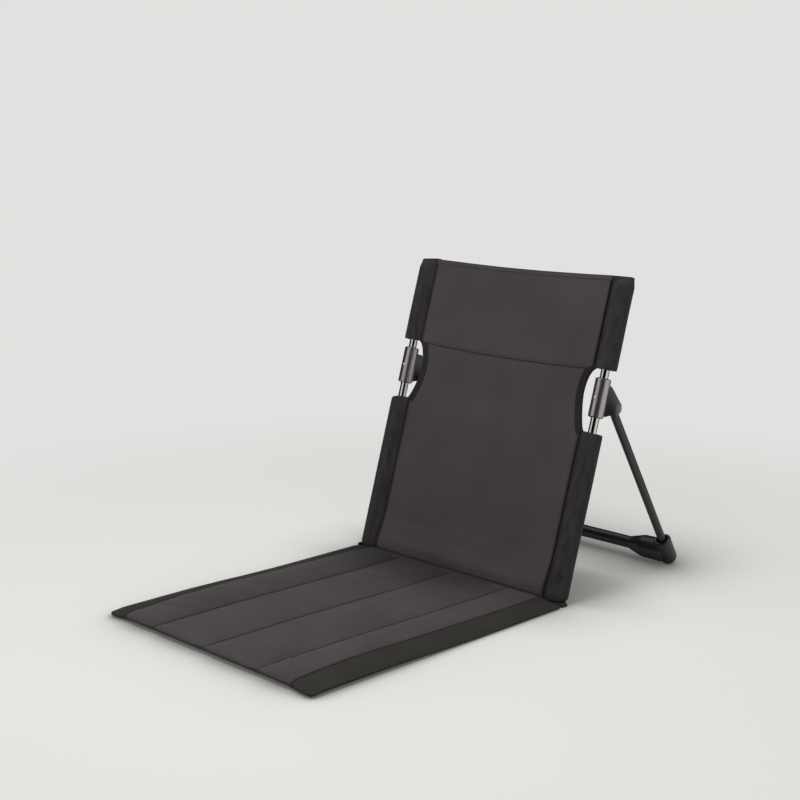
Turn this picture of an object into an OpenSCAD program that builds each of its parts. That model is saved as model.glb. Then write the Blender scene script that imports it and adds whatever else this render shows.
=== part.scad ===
// Low folding camping chair: a padded seat that lies on the ground, a cloth back held by two
// poles, and a folding rear stand whose legs swing on a hub on each pole.
// X runs across the chair, the seat reaches out along -Y, the stand is at +Y and +Z is up.
// The origin lies on the ground below the fold line between seat and back.

/* [Back frame] */
// Distance between the two pole axes
pole_spacing = 388; // [360:1:420]
// Outer diameter of a pole
pole_d = 12.5; // [10:0.1:14]
// Wall of a pole
pole_wall = 1; // [0.8:0.1:1.5]
// Lean of the back from the vertical, in degrees
back_tilt = 17; // [10:0.5:24]
// Length of the back along the poles, from the fold line to the top hem
back_h = 479; // [440:1:520]
// Height of the pole's foot above the fold line, along the pole
pole_foot_up = 9; // [8:0.5:12]
// Distance from the pole's top to the top of the cloth
pole_top_drop = 12; // [10:1:20]
// Thickness of the flange of a pole's end caps
cap_flange_t = 2.5; // [1.5:0.1:4]
// Depth of the plug that an end cap pushes into its pole
cap_plug = 12; // [8:1:20]

/* [Hub] */
// Height of the middle of the collar, along the pole
collar_mid = 303; // [292:1:315]
// Length of the collar
collar_h = 56.5; // [54:0.5:62]
// Outer diameter of the collar
collar_d = 22.6; // [21.6:0.1:25]
// Wall of the collar
collar_wall = 1.8; // [1.2:0.1:2.2]
// How far the bracket's liner stands out of each end of the collar
liner_lip = 0.8; // [0.5:0.1:2]
// Distance of the leg pivot behind the pole axis
pivot_back = 28; // [26:0.5:32]
// Height of the leg pivot, along the pole
pivot_up = 299; // [296:1:306]
// Thickness of each cheek of the wing
cheek_t = 2.2; // [1.8:0.1:3]
// Drop from the top of the collar to the root of the wing
wing_top_drop = 8; // [6:0.5:14]
// Rise from the bottom of the collar to the lower edge of the wing
wing_low_rise = 4.5; // [3:0.5:8]
// How far the arch between collar and leg cuts up into the wing
arch_rise = 2.4; // [1:0.1:4]
// How much higher the arch is in the wing's inner cheek
inner_arch = 9; // [4:0.5:11]
// How far the top of the wing's inner cheek stands out behind the collar
inner_ledge = 6; // [2:0.5:8]
// Distance from the pivot to the wing's nose, along the leg
nose_reach = 18; // [16:0.5:22]
// Height of the nose's shoulder above the leg axis
nose_h = 12.5; // [11:0.5:16]
// Rounding of the nose
nose_r = 3.6; // [2:0.1:4]
// Diameter of the leg's pivot pin
pin_d = 4; // [3:0.1:5]
// Diameter of the head of the pivot pin
pin_head_d = 8; // [6:0.1:9]
// Thickness of the head of the pivot pin
pin_head_t = 1.2; // [0.8:0.1:2]
// Diameter of the rivet that holds the collar to the pole
rivet_d = 3; // [2.4:0.1:3.6]
// Diameter of the rivet's head
rivet_head_d = 4.4; // [4:0.1:6]
// Height of the rivet's head
rivet_head_t = 0.9; // [0.6:0.1:1.5]

/* [Stand] */
// Angle of the legs from the vertical, in degrees
leg_rake = 31.4; // [28:0.2:36]
// Outer diameter of a leg
leg_d = 12.5; // [11.5:0.1:12.8]
// Wall of a leg
leg_wall = 1; // [0.8:0.1:1.5]
// Length of the eye plug inside the top of a leg
eye_plug = 24; // [18:1:32]
// Length of the plug at the tip of a leg
tip_plug = 14; // [10:1:20]
// Thickness of the rim of the tip plug
tip_rim_t = 2.5; // [1.5:0.1:4]
// Outer diameter of the crossbar
crossbar_d = 19.4; // [17:0.1:21]
// Wall of the crossbar
crossbar_wall = 1.2; // [1:0.1:2]
// Radius of the foot's column at its round bottom end
foot_r = 13; // [12.4:0.1:14]
// Height of the crossbar axis above the middle of that round end, along the leg
bar_up = 9.4; // [7.5:0.1:12]
// Radius of the foot at the mouth of its leg socket
mouth_r = 13.3; // [12.8:0.1:15]
// Radius of the flared opening of the socket
flare_r = 9.7; // [8:0.1:10.4]
// Depth of the flare
flare_depth = 11; // [6:0.5:13]
// Height of the socket's mouth above the middle of the round end, along the leg
mouth_up = 35.8; // [34:0.1:40]
// Height of the socket's floor above the middle of the round end, along the leg
socket_floor_up = 5.8; // [4:0.1:8]
// Radius of the foot's barrel, which holds the crossbar
barrel_r = 18.2; // [16:0.1:19]
// How much slimmer the barrel is where its cone begins
barrel_slim = 0.8; // [0:0.1:2]
// Rounding of the barrel's outer end, inside the column
barrel_round = 8; // [6:0.5:10]
// Distance from the leg axis to the inner end of the barrel
barrel_reach = 65; // [58:1:76]
// Length of the cone at the inner end of the barrel
barrel_cone = 22; // [12:1:28]
// Wall of the barrel at its inner end
barrel_lip = 1.6; // [1:0.1:3]
// Solid wall between the end of the crossbar and the leg's socket
bar_end_wall = 4.5; // [3:0.5:8]
// Depth of the flat that the foot rests on
foot_flat = 0.5; // [0.3:0.1:1]

/* [Seat] */
// Width of the seat
seat_w = 429; // [400:1:460]
// Length of the seat from the fold line to its front edge
seat_l = 490; // [450:1:530]
// Distance from the middle seam to the next seam
inner_seam_x = 110; // [100:1:118]
// Distance from the middle seam to the side crease
crease_x = 175; // [168:1:180]
// Height of the crown of a seat pad above its seams
pad_crown = 8; // [5:0.5:12]
// Height of the stitched seams at the fold
seam_z = 5.4; // [4.5:0.1:7]
// How much higher the seams are at the front
seam_rise = 4; // [0:0.5:6]
// Height of the side crease above the seams, at the middle of its length
crease_lift = 5; // [3:0.5:7]
// Height of the outer edge of a side band at the fold
band_edge_z = 3.3; // [3:0.1:5]
// Thickness of the underside cloth
under_t = 2.4; // [2:0.1:3.5]
// Gap between two pads at their seam
seam_gap = 1.2; // [0.8:0.1:2]
// How far the sides of a pad pull in at the middle
pad_pull = 1; // [0:0.1:2]
// Length over which a pad drops to its rear seam
rear_drop = 40; // [25:1:70]
// Length over which a pad drops to its front seam
front_drop = 13; // [9:1:26]
// Width of the hem at the front edge
front_hem_w = 6; // [4:0.5:10]
// Height of the hem's top at the front edge
front_hem_z = 10.4; // [8:0.2:12]
// Thickness of the hem at the front edge
front_hem_t = 3; // [2:0.2:5]
// Width of the hem at the rear edge
rear_hem_w = 4; // [3:0.5:8]
// Rounding of the seat's corners
seat_corner_r = 6; // [3:0.5:12]

/* [Fold] */
// Distance of the fold's hinge line in front of the pole feet
fold_front = 13; // [12:0.5:18]
// Height of the cloth strip below the back
strip_z = 7.5; // [5:0.5:8]
// Reach of that strip behind the pole feet
strip_back = 9; // [6:0.5:14]
// Thickness of the strip's cloth where it turns up round the pole feet
cuff_t = 1.5; // [1:0.1:2.5]
// Height of the turned-up cloth
cuff_h = 8; // [6:0.5:10]
// How far the turned-up cloth stands outside the sleeve
cuff_out = 2.5; // [2:0.1:3]
// How far the turned-up cloth reaches back beside the pole feet
cuff_back = 7; // [4:0.5:10]
// Rounding of the corner where the cloth turns
cuff_round = 8; // [4:0.5:10]

/* [Back cloth] */
// Width of a sleeve
sleeve_w = 37.5; // [34:0.5:42]
// Depth of a sleeve
sleeve_t = 22; // [19:0.5:24]
// How far the sleeve reaches outwards from the pole axis
sleeve_out = 17.5; // [15:0.5:20]
// Height of the top of the lower sleeve, along the pole
lower_sleeve_top = 252; // [240:1:262]
// Height of the bottom of the upper sleeve, along the pole
upper_sleeve_low = 345; // [342:1:360]
// Height of the top of the foot pocket, along the pole
pocket_top = 14; // [12:0.5:20]
// How far the foot pocket is set in from the sleeve above it
pocket_in = 2; // [1:0.1:2.4]
// Thickness of the back panels
panel_t = 4; // [3:0.5:6]
// Distance of the panels' front face before the pole axis
panel_front = 8; // [6:0.5:9]
// How far the panels sag to the rear in their middle
panel_belly = 5; // [2:0.5:8]
// Depth of the cut-out beside each hub
notch_depth = 10; // [8:0.5:16]
// Half height of the cut-out
notch_half = 45; // [40:1:48]
// How far the cloth between the two cut-outs sags to the rear
notch_sag = 5; // [2:0.5:7]
// Width of the binding round the cut-out
binding_w = 13; // [9:0.5:14]
// Thickness of the binding
binding_t = 5.6; // [5:0.1:7]
// Width of the top hem
top_hem_w = 7; // [5:0.5:10]
// Thickness of the top hem
top_hem_t = 6; // [5:0.5:8]

/* [Clearances] */
// Radial gap of plugs, liners and tubes that are pushed together
push_gap = 0.1; // [0.05:0.01:0.15]
// Radial gap of the pivot pin in the leg
pin_gap = 0.08; // [0.03:0.01:0.1]
// Gap between moving flat or round faces
move_gap = 0.3; // [0.25:0.05:0.5]
// Gap between the leg and the web that stops it
stop_gap = 0.4; // [0.3:0.05:0.6]
// Gap between cloth pieces
cloth_gap = 0.3; // [0.3:0.05:0.6]

/* [Hidden] */

$fn = 64;
// Overrun of cuts past the faces that they cut
over = 1;
pole_x = pole_spacing / 2;
pole_r = pole_d / 2;
pole_top = back_h - pole_top_drop;
sleeve_bore_r = pole_r + pole_wall / 2 + cloth_gap;
collar_low = collar_mid - collar_h / 2;
collar_top = collar_mid + collar_h / 2;
collar_in_r = collar_d / 2 - collar_wall;
liner_r = collar_in_r - push_gap;
leg_r = leg_d / 2;
fold_angle = back_tilt + leg_rake;
channel_w = leg_d + 2 * move_gap;
wing_w = channel_w + 2 * cheek_t;
// The eye's round end is a little wider than the leg, so that no step shows
eye_r = leg_r + (stop_gap - move_gap);
socket_r = leg_r + push_gap;
end_z = foot_r - foot_flat;
bar_z = end_z + bar_up * cos(leg_rake);
pivot_y = pivot_back * cos(back_tilt) + pivot_up * sin(back_tilt);
pivot_z = pivot_up * cos(back_tilt) - pivot_back * sin(back_tilt);
leg_len = (pivot_z - end_z) / cos(leg_rake);
end_y = pivot_y + leg_len * sin(leg_rake);
bar_y = end_y - bar_up * sin(leg_rake);
bar_half = pole_x - socket_r - bar_end_wall;
sleeve_mid_x = pole_x + sleeve_out - sleeve_w / 2;
panel_x = sleeve_mid_x - sleeve_w / 2 - cloth_gap;
notch_mid = (lower_sleeve_top + upper_sleeve_low) / 2;
notch_reach = notch_half + binding_w + cloth_gap;
seat_front = -seat_l;
seat_back = -fold_front - cloth_gap;
pad_z0 = under_t + cloth_gap;
pad_front = seat_front + front_hem_w + cloth_gap;
pad_back = seat_back - rear_hem_w - cloth_gap;
// Shares of the length at which the pads' rows of points lie, closer at both ends
pad_row_shares = [0, 0.012, 0.03, 0.06, 0.12, 0.2, 0.32, 0.44, 0.56, 0.68, 0.78, 0.85, 0.91, 0.96, 1];
// Shares of the width at which the pads' columns of points lie
pad_col_shares = [0, 0.04, 0.12, 0.26, 0.5, 0.74, 0.88, 0.96, 1];
band_col_shares = [0, 0.18, 0.45, 0.75, 1];
panel_cols = 10;
plain_rows = 7;
sleeve_sides = 24;
sleeve_rows = 8;
sleeve_square_share = 0.72;
fold_share = 0.05;
folds = 5;
fold_turn = 140;
crown_share = 0.6;
ripple_share = 0.2;
ripple_turn = 540;
arc_steps = 6;
notch_steps = 16;
notch_angles = [for (k = [0:notch_steps]) 180 * k / notch_steps - 90];

steel = "#b9b8b8";
gunmetal = "#6f6b6b";
nylon = "#2f2e2f";
black_tube = "#353435";
back_cloth = "#423e3e";
sleeve_cloth = "#2c2a2d";
seat_cloth = "#494547";
band_cloth = "#353331";

// Puts the pieces of the back into the lean of the back, with the poles along Z
module on_back() {
    rotate([-back_tilt, 0, 0]) children();
}

// Draws a right-hand piece, or its mirror image on the left
module on_side(side) {
    if (side > 0) children();
    else mirror([1, 0, 0]) children();
}

module at_pole(side) {
    on_side(side) on_back() translate([pole_x, 0, 0]) children();
}

// Puts a piece on the leg axis, with its pivot at the origin and the leg along -Z
module at_leg(side) {
    on_side(side) translate([pole_x, pivot_y, pivot_z]) rotate([leg_rake, 0, 0]) children();
}

// Half of the room above the ground, which cuts soft pieces and feet flat
module above_ground() {
    reach = seat_l + back_h;
    translate([-reach, -reach, 0]) cube([2 * reach, 2 * reach, reach]);
}

function unit(v) = v / norm(v);
function turn_side(a, b, c) = sign((b[0] - a[0]) * (c[1] - b[1]) - (b[1] - a[1]) * (c[0] - b[0]));

// Points of an arc of radius r that rounds corner b between a and c
function rounded_corner(a, b, c, r) =
    r == 0 ? [b] :
    let (
        p = unit(a - b),
        q = unit(c - b),
        half = acos(p * q) / 2,
        mid = b + unit(p + q) * r / sin(half),
        sweep = 180 - 2 * half,
        side = turn_side(a, b, c),
        first = b + p * r / tan(half) - mid,
        start = atan2(first[1], first[0])
    )
    [for (k = [0:arc_steps]) mid + r * [cos(start + side * sweep * k / arc_steps),
                                        sin(start + side * sweep * k / arc_steps)]];

// Outline with its corners rounded, from corners given as [x, y, radius]
function rounded_outline(corners) =
    let (n = len(corners), p = [for (c = corners) [c[0], c[1]]])
    [for (i = [0:n - 1]) each rounded_corner(p[(i + n - 1) % n], p[i], p[(i + 1) % n], corners[i][2])];

// Point of the hub's side view: t along the leg from the pivot, n across it to the rear
function leg_point(t, n) = [
    pivot_back + t * sin(fold_angle) + n * cos(fold_angle),
    pivot_up - t * cos(fold_angle) + n * sin(fold_angle)
];

// Draws a side view, with Y to the rear and Z up, from x0 to x1 across
module side_plate(outline, x0, x1) {
    translate([x0, 0, 0]) rotate([90, 0, 90]) linear_extrude(x1 - x0) polygon(outline);
}

// Closed solid between two grids of points, cols and rows cells wide
module soft_solid(upper, lower, cols, rows) {
    n = (cols + 1) * (rows + 1);
    w = cols + 1;
    rim = concat(
        [for (i = [0:cols - 1]) i],
        [for (j = [0:rows - 1]) j * w + cols],
        [for (i = [0:cols - 1]) rows * w + cols - i],
        [for (j = [0:rows - 1]) (rows - j) * w]
    );
    cells = [for (j = [0:rows - 1], i = [0:cols - 1]) j * w + i];
    polyhedron(
        points = concat(upper, lower),
        faces = concat(
            [for (k = cells) each [[k, k + w, k + w + 1], [k, k + w + 1, k + 1]]],
            [for (k = cells) each [[n + k, n + k + 1, n + k + w + 1], [n + k, n + k + w + 1, n + k + w]]],
            [for (k = [0:len(rim) - 1])
                let (a = rim[k], b = rim[(k + 1) % len(rim)])
                each [[a, b, b + n], [a, b + n, a + n]]]
        ),
        convexity = 6
    );
}

// Closed solid through rings of points, each ring anticlockwise seen from above
module lofted(rings) {
    sides = len(rings[0]);
    rows = len(rings) - 1;
    last = rows * sides;
    polyhedron(
        points = [for (ring = rings) each ring],
        faces = concat(
            [for (j = [0:rows - 1], i = [0:sides - 1])
                let (a = j * sides + i, b = j * sides + (i + 1) % sides)
                each [[a, a + sides, b + sides], [a, b + sides, b]]],
            [for (i = [1:sides - 2]) [0, i, i + 1]],
            [for (i = [1:sides - 2]) [last, last + i + 1, last + i]]
        ),
        convexity = 4
    );
}

module pole(side) {
    color(steel) at_pole(side) difference() {
        translate([0, 0, pole_foot_up]) cylinder(r = pole_r, h = pole_top - pole_foot_up);
        translate([0, 0, pole_foot_up - over])
            cylinder(r = pole_r - pole_wall, h = pole_top - pole_foot_up + 2 * over);
        translate([0, 0, collar_mid]) rotate([90, 0, 0]) cylinder(r = rivet_d / 2 + push_gap, h = pole_d);
    }
}

// Plug with a flange that closes a pole's end, its plug reaching along +Z
module end_cap() {
    flange_r = pole_r + pole_wall / 2;
    translate([0, 0, -cap_flange_t]) cylinder(r1 = pole_r, r2 = flange_r, h = cap_flange_t);
    cylinder(r = pole_r - pole_wall - push_gap, h = cap_plug);
}

module pole_cap(side) {
    color(nylon) at_pole(side) translate([0, 0, pole_top]) mirror([0, 0, 1]) end_cap();
}

module pole_foot(side) {
    color(nylon) at_pole(side) translate([0, 0, pole_foot_up]) end_cap();
}

module collar(side) {
    slot_w = wing_w + 2 * move_gap;
    slot_top = collar_top - wing_top_drop + move_gap;
    chamfer = collar_wall / 3;
    color(gunmetal) at_pole(side) difference() {
        translate([0, 0, collar_low]) rotate_extrude() polygon([
            [collar_in_r, 0],
            [collar_d / 2 - chamfer, 0],
            [collar_d / 2, chamfer],
            [collar_d / 2, collar_h - chamfer],
            [collar_d / 2 - chamfer, collar_h],
            [collar_in_r, collar_h]
        ]);
        translate([-slot_w / 2, 0, collar_low - over]) cube([slot_w, collar_d, slot_top - collar_low + over]);
        translate([0, 0, collar_mid]) rotate([90, 0, 0]) cylinder(r = rivet_d / 2 + push_gap, h = collar_d);
    }
}

// Side view of the wing: root on the liner, straight rear edge, round nose and an arch below.
// Its top stands out behind the collar by ledge, and its lower edge is lifted beside the collar
function wing_outline(ledge, lift) =
    let (
        root = collar_in_r / 2,
        skin = collar_d / 2,
        top = collar_top - wing_top_drop,
        low = collar_low + wing_low_rise + lift,
        shoulder = leg_point(nose_reach - nose_r * 2, nose_h),
        nose = leg_point(nose_reach, leg_r + cheek_t),
        chin = leg_point(nose_reach + cheek_t, -leg_r - move_gap),
        arch_y = (skin + chin[0]) / 2
    )
    rounded_outline([
        [root, low, 0],
        [skin, low - arch_rise / 2, 0],
        [arch_y - nose_r, low + arch_rise, nose_r],
        [chin[0], chin[1], cheek_t / 2],
        [nose[0], nose[1], nose_r],
        [shoulder[0], shoulder[1], nose_r],
        [skin + ledge, top, nose_r / 2],
        [root, top, 0]
    ]);

// Room in which the leg swings, from the web behind the leg to the spine beside the collar
function channel_outline() =
    let (
        web_n = leg_r + stop_gap,
        spine = pivot_back - eye_r - 2 * cheek_t,
        far = nose_reach + collar_d,
        web_far = leg_point(far, web_n),
        web_near = leg_point(-eye_r - cheek_t, web_n),
        low = collar_low - leg_d
    )
    [
        [spine, low],
        [web_far[0], low],
        web_far,
        web_near,
        [spine, pivot_up + eye_r]
    ];

module hub_bracket(side) {
    color(nylon) at_pole(side) difference() {
        union() {
            translate([0, 0, collar_low - liner_lip]) cylinder(r = liner_r, h = collar_h + 2 * liner_lip);
            side_plate(wing_outline(0, 0), -channel_w / 2, wing_w / 2);
            side_plate(wing_outline(inner_ledge, inner_arch), -wing_w / 2, -channel_w / 2);
        }
        side_plate(channel_outline(), -channel_w / 2, channel_w / 2);
        translate([0, 0, collar_low - collar_h]) cylinder(r = pole_r + push_gap, h = 3 * collar_h);
        translate([0, 0, collar_mid]) rotate([90, 0, 0]) cylinder(r = rivet_d / 2 + push_gap, h = collar_d);
        // The pin's bore is blind in the outer cheek
        translate([-wing_w, pivot_back, pivot_up]) rotate([0, 90, 0])
            cylinder(r = pin_d / 2 + push_gap, h = wing_w * 3 / 2 - cheek_t / 2);
    }
}

// The rivet's head seats on the front of the collar and its shank ends inside the pole
module hub_rivet(side) {
    head_y = collar_d / 2 + push_gap;
    tail_y = pole_r - 2 * pole_wall;
    color(steel) at_pole(side) translate([0, 0, collar_mid]) rotate([90, 0, 0]) {
        translate([0, 0, tail_y]) cylinder(r = rivet_d / 2, h = head_y - tail_y);
        translate([0, 0, head_y]) rotate_extrude() polygon(concat(
            [[0, 0], [rivet_head_d / 2, 0]],
            [for (k = [1:arc_steps]) [rivet_head_d / 2 * cos(90 * k / arc_steps),
                                      rivet_head_t * sin(90 * k / arc_steps)]]
        ));
    }
}

module pivot_pin(side) {
    shank = wing_w - cheek_t / 2 - push_gap;
    color(steel) at_pole(side) translate([-wing_w / 2, pivot_back, pivot_up]) rotate([0, 90, 0]) {
        cylinder(r = pin_d / 2, h = shank);
        translate([0, 0, -pin_head_t]) rotate_extrude() polygon([
            [0, 0],
            [pin_head_d / 2 - pin_head_t / 2, 0],
            [pin_head_d / 2, pin_head_t / 2],
            [pin_head_d / 2, pin_head_t],
            [0, pin_head_t]
        ]);
    }
}

// Everything below the eye's round end, which trims the top of a leg and its plug
module eye_trim() {
    half = leg_d;
    rotate([90, 0, 90]) translate([0, 0, -leg_d]) linear_extrude(2 * leg_d) union() {
        circle(r = eye_r);
        translate([-half, -leg_len - leg_d]) square([2 * half, leg_len + leg_d]);
    }
}

module pin_hole() {
    translate([-leg_d, 0, 0]) rotate([0, 90, 0]) cylinder(r = pin_d / 2 + pin_gap, h = 2 * leg_d);
}

module leg(side) {
    tube_end = leg_len - socket_floor_up - tip_rim_t - move_gap;
    color(black_tube) at_leg(side) difference() {
        intersection() {
            translate([0, 0, -tube_end]) cylinder(r = leg_r, h = tube_end + leg_d);
            eye_trim();
        }
        translate([0, 0, -tube_end - over]) cylinder(r = leg_r - leg_wall, h = tube_end + 2 * leg_d);
        pin_hole();
    }
}

module leg_eye(side) {
    color(nylon) at_leg(side) difference() {
        intersection() {
            translate([0, 0, -eye_plug]) cylinder(r = leg_r - leg_wall - push_gap, h = eye_plug + leg_d);
            eye_trim();
        }
        pin_hole();
    }
}

module leg_tip(side) {
    rim_z = -leg_len + socket_floor_up + move_gap;
    color(nylon) at_leg(side) translate([0, 0, rim_z]) {
        cylinder(r1 = leg_r - leg_wall, r2 = leg_r, h = tip_rim_t);
        cylinder(r = leg_r - leg_wall - push_gap, h = tip_rim_t + tip_plug);
    }
}

module crossbar() {
    color(black_tube) translate([-bar_half, bar_y, bar_z]) rotate([0, 90, 0]) difference() {
        cylinder(d = crossbar_d, h = 2 * bar_half);
        translate([0, 0, -over]) cylinder(d = crossbar_d - 2 * crossbar_wall, h = 2 * (bar_half + over));
    }
}

// Upright column of the foot, turned about the leg axis, with its round end down
module foot_column() {
    rim = (mouth_r - flare_r) / 2;
    rotate_extrude() polygon(concat(
        [for (k = [0:2 * arc_steps]) foot_r * [sin(90 * k / (2 * arc_steps)), -cos(90 * k / (2 * arc_steps))]],
        [
            [mouth_r, mouth_up - rim],
            [mouth_r - rim, mouth_up],
            [0, mouth_up]
        ]
    ));
}

// Barrel of the foot, turned about the crossbar axis, from the leg axis inwards
module foot_barrel() {
    inner_r = crossbar_d / 2 + push_gap + barrel_lip;
    rotate([0, -90, 0]) rotate_extrude() polygon(concat(
        [[0, 0]],
        [for (k = [0:arc_steps]) [barrel_r - barrel_round * (1 - sin(90 * k / arc_steps)),
                                  barrel_round * (1 - cos(90 * k / arc_steps))]],
        [
            [barrel_r - barrel_slim, barrel_reach - barrel_cone],
            [inner_r, barrel_reach],
            [0, barrel_reach]
        ]
    ));
}

module foot(side) {
    color(nylon) on_side(side) intersection() {
        translate([pole_x, end_y, end_z]) difference() {
            union() {
                rotate([leg_rake, 0, 0]) foot_column();
                translate([0, bar_y - end_y, bar_z - end_z]) foot_barrel();
            }
            rotate([leg_rake, 0, 0]) {
                translate([0, 0, socket_floor_up]) cylinder(r = socket_r, h = mouth_up);
                translate([0, 0, mouth_up - flare_depth]) rotate_extrude() polygon([
                    [0, 0],
                    [socket_r, 0],
                    [flare_r, flare_depth],
                    [flare_r, flare_depth + over],
                    [0, flare_depth + over]
                ]);
            }
            translate([bar_half - pole_x + push_gap, bar_y - end_y, bar_z - end_z]) rotate([0, -90, 0])
                cylinder(r = crossbar_d / 2 + push_gap, h = barrel_reach);
        }
        above_ground();
    }
}

// Half width of the back cloth at height z, drawn in by the cut-outs and their binding
function panel_half(z) =
    let (h = (z - notch_mid) / notch_reach)
    abs(h) >= 1 ? panel_x : panel_x - (notch_depth + binding_w + cloth_gap) * sqrt(1 - h * h);

// Sag of the cloth at height z between the cut-outs, whose free edges give way
function slack(z) =
    let (h = (z - notch_mid) / notch_reach)
    abs(h) >= 1 ? 0 : notch_sag * pow(cos(90 * h), 2);

// Sag of the back cloth at share u of its width and height z
function panel_sag(u, z) =
    let (middle = 1 - pow(2 * u - 1, 2), up = z / back_h)
    panel_belly * middle * (sin(180 * up) + ripple_share * sin(360 * up) * cos(ripple_turn * u)) + slack(z);

// Heights at which the back cloth has a row of points: both ends and the steps round the cut-outs
function panel_rows(low, high) =
    let (
        steps = [for (a = notch_angles) notch_mid + notch_reach * sin(a)],
        inside = [for (z = steps) if (z > low + cloth_gap && z < high - cloth_gap) z],
        ends = len(inside) == 0 ? [low, high] : low < inside[0] - notch_depth ? [low, inside[0]]
            : [inside[len(inside) - 1], high],
        plain = [for (k = [1:plain_rows]) ends[0] + (ends[1] - ends[0]) * k / (plain_rows + 1)],
        below = ends[0] == low
    )
    concat([low], below ? plain : [], inside, below ? [] : plain, [high]);

module cloth_panel(rows) {
    last = len(rows) - 1;
    front = [for (z = rows, i = [0:panel_cols])
        let (u = i / panel_cols)
        [panel_half(z) * (2 * u - 1), panel_sag(u, z) - panel_front, z]];
    on_back() soft_solid(front, [for (p = front) p + [0, panel_t, 0]], panel_cols, last);
}

module back_panel() {
    low = (strip_z + cloth_gap) / cos(back_tilt) - (panel_front - panel_t) * tan(back_tilt);
    color(back_cloth) cloth_panel(panel_rows(low, upper_sleeve_low));
}

module head_panel() {
    low = upper_sleeve_low + cloth_gap;
    top = back_h - top_hem_w - cloth_gap;
    color(back_cloth) cloth_panel(panel_rows(low, top));
}

module top_hem() {
    thick_mid = -panel_front + panel_t / 2;
    color(sleeve_cloth) on_back() translate([-panel_x, thick_mid - top_hem_t / 2, back_h - top_hem_w])
        cube([2 * panel_x, top_hem_t, top_hem_w]);
}

// Binding along the edge of a cut-out: half an oval ring that sags with the cloth
module cutout_binding(side) {
    front_y = (panel_t - binding_t) / 2 - panel_front;
    front = [for (a = notch_angles, w = [binding_w, 0])
        let (z = notch_mid + (notch_half + w) * sin(a))
        [panel_x - (notch_depth + w) * cos(a), front_y + slack(z), z]];
    color(sleeve_cloth) on_side(side) on_back()
        soft_solid(front, [for (p = front) p + [0, binding_t, 0]], 1, notch_steps);
}

// Ring of a sleeve at share v of its length: a squarish oval with soft lengthwise folds
function sleeve_ring(z, v, slim) = [
    for (i = [0:sleeve_sides - 1])
        let (
            a = 360 * i / sleeve_sides,
            fold = 1 - fold_share * (1 - cos(folds * a + fold_turn * v)) / 2,
            cx = sign(cos(a)) * pow(abs(cos(a)), sleeve_square_share),
            cy = sign(sin(a)) * pow(abs(sin(a)), sleeve_square_share)
        )
        [sleeve_mid_x - pole_x + sleeve_w / 2 * cx * slim, sleeve_t / 2 * cy * fold * slim, z]
];

module sleeve(side, low, top, bore_top) {
    color(sleeve_cloth) at_pole(side) difference() {
        lofted([for (k = [0:sleeve_rows])
            let (v = k / sleeve_rows)
            sleeve_ring(low + (top - low) * v, v, k == sleeve_rows ? 1 - fold_share : 1)]);
        translate([0, 0, low - over]) cylinder(r = sleeve_bore_r, h = bore_top - low + over);
    }
}

module upper_sleeve(side) {
    sleeve(side, upper_sleeve_low, back_h, pole_top + cap_flange_t + cloth_gap);
}

module lower_sleeve(side) {
    sleeve(side, pocket_top + cloth_gap, lower_sleeve_top, lower_sleeve_top + over);
}

// Reinforced pocket at the lower corner of the back, which the pole's foot stands in
module foot_pocket(side) {
    x0 = sleeve_mid_x - pole_x - sleeve_w / 2 + pocket_in;
    x1 = x0 + sleeve_w - 2 * pocket_in;
    half = sleeve_t / 2 - pocket_in;
    color(sleeve_cloth) intersection() {
        at_pole(side) difference() {
            translate([0, 0, -sleeve_t]) linear_extrude(sleeve_t + pocket_top) polygon(rounded_outline([
                [x0, -half, half / 2],
                [x1, -half, half / 2],
                [x1, half, half / 2],
                [x0, half, half / 2]
            ]));
            translate([0, 0, pole_foot_up - cap_flange_t - cloth_gap])
                cylinder(r = sleeve_bore_r, h = 2 * pocket_top);
        }
        above_ground();
    }
}

// Cloth that turns up round the front and the outer side of a pole's foot
module cuff(side) {
    x0 = panel_x - cuff_t;
    x1 = sleeve_mid_x + sleeve_w / 2 + cuff_out;
    in_round = cuff_round - cuff_t;
    on_side(side) linear_extrude(cuff_h) polygon(rounded_outline([
        [x0, -fold_front, 0],
        [x1, -fold_front, cuff_round],
        [x1, cuff_back, 0],
        [x1 - cuff_t, cuff_back, 0],
        [x1 - cuff_t, -fold_front + cuff_t, in_round],
        [x0, -fold_front + cuff_t, 0]
    ]));
}

// Strip between the lower edge of the back and the ground, with its turned-up ends
module fold_strip() {
    half = panel_x;
    color(back_cloth) {
        translate([-half, -fold_front, 0]) cube([2 * half, fold_front + strip_back, strip_z]);
        cuff(-1);
        cuff(1);
    }
}

module seat_underside() {
    half = seat_w / 2 - cloth_gap;
    color(band_cloth) linear_extrude(under_t) polygon(rounded_outline([
        [-half, pad_front, 0],
        [half, pad_front, 0],
        [half, seat_back, seat_corner_r],
        [-half, seat_back, seat_corner_r]
    ]));
}

function ease(x) = let (c = min(1, max(0, x))) sqrt(1 - (1 - c) * (1 - c));

// Fullness of a pad at y, from its two drops
function pad_full(y) = ease((y - pad_front) / front_drop) * ease((pad_back - y) / rear_drop);

// Rise of the seams from the fold to y
function rise_z(y) =
    let (v = (pad_back - y) / (pad_back - pad_front))
    seam_rise * v * v * (3 - 2 * v);

// Height of the side crease at y
function crease_z(y) =
    seam_z + rise_z(y) + crease_lift * sqrt(max(0, sin(180 * (pad_back - y) / (pad_back - pad_front))));

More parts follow.
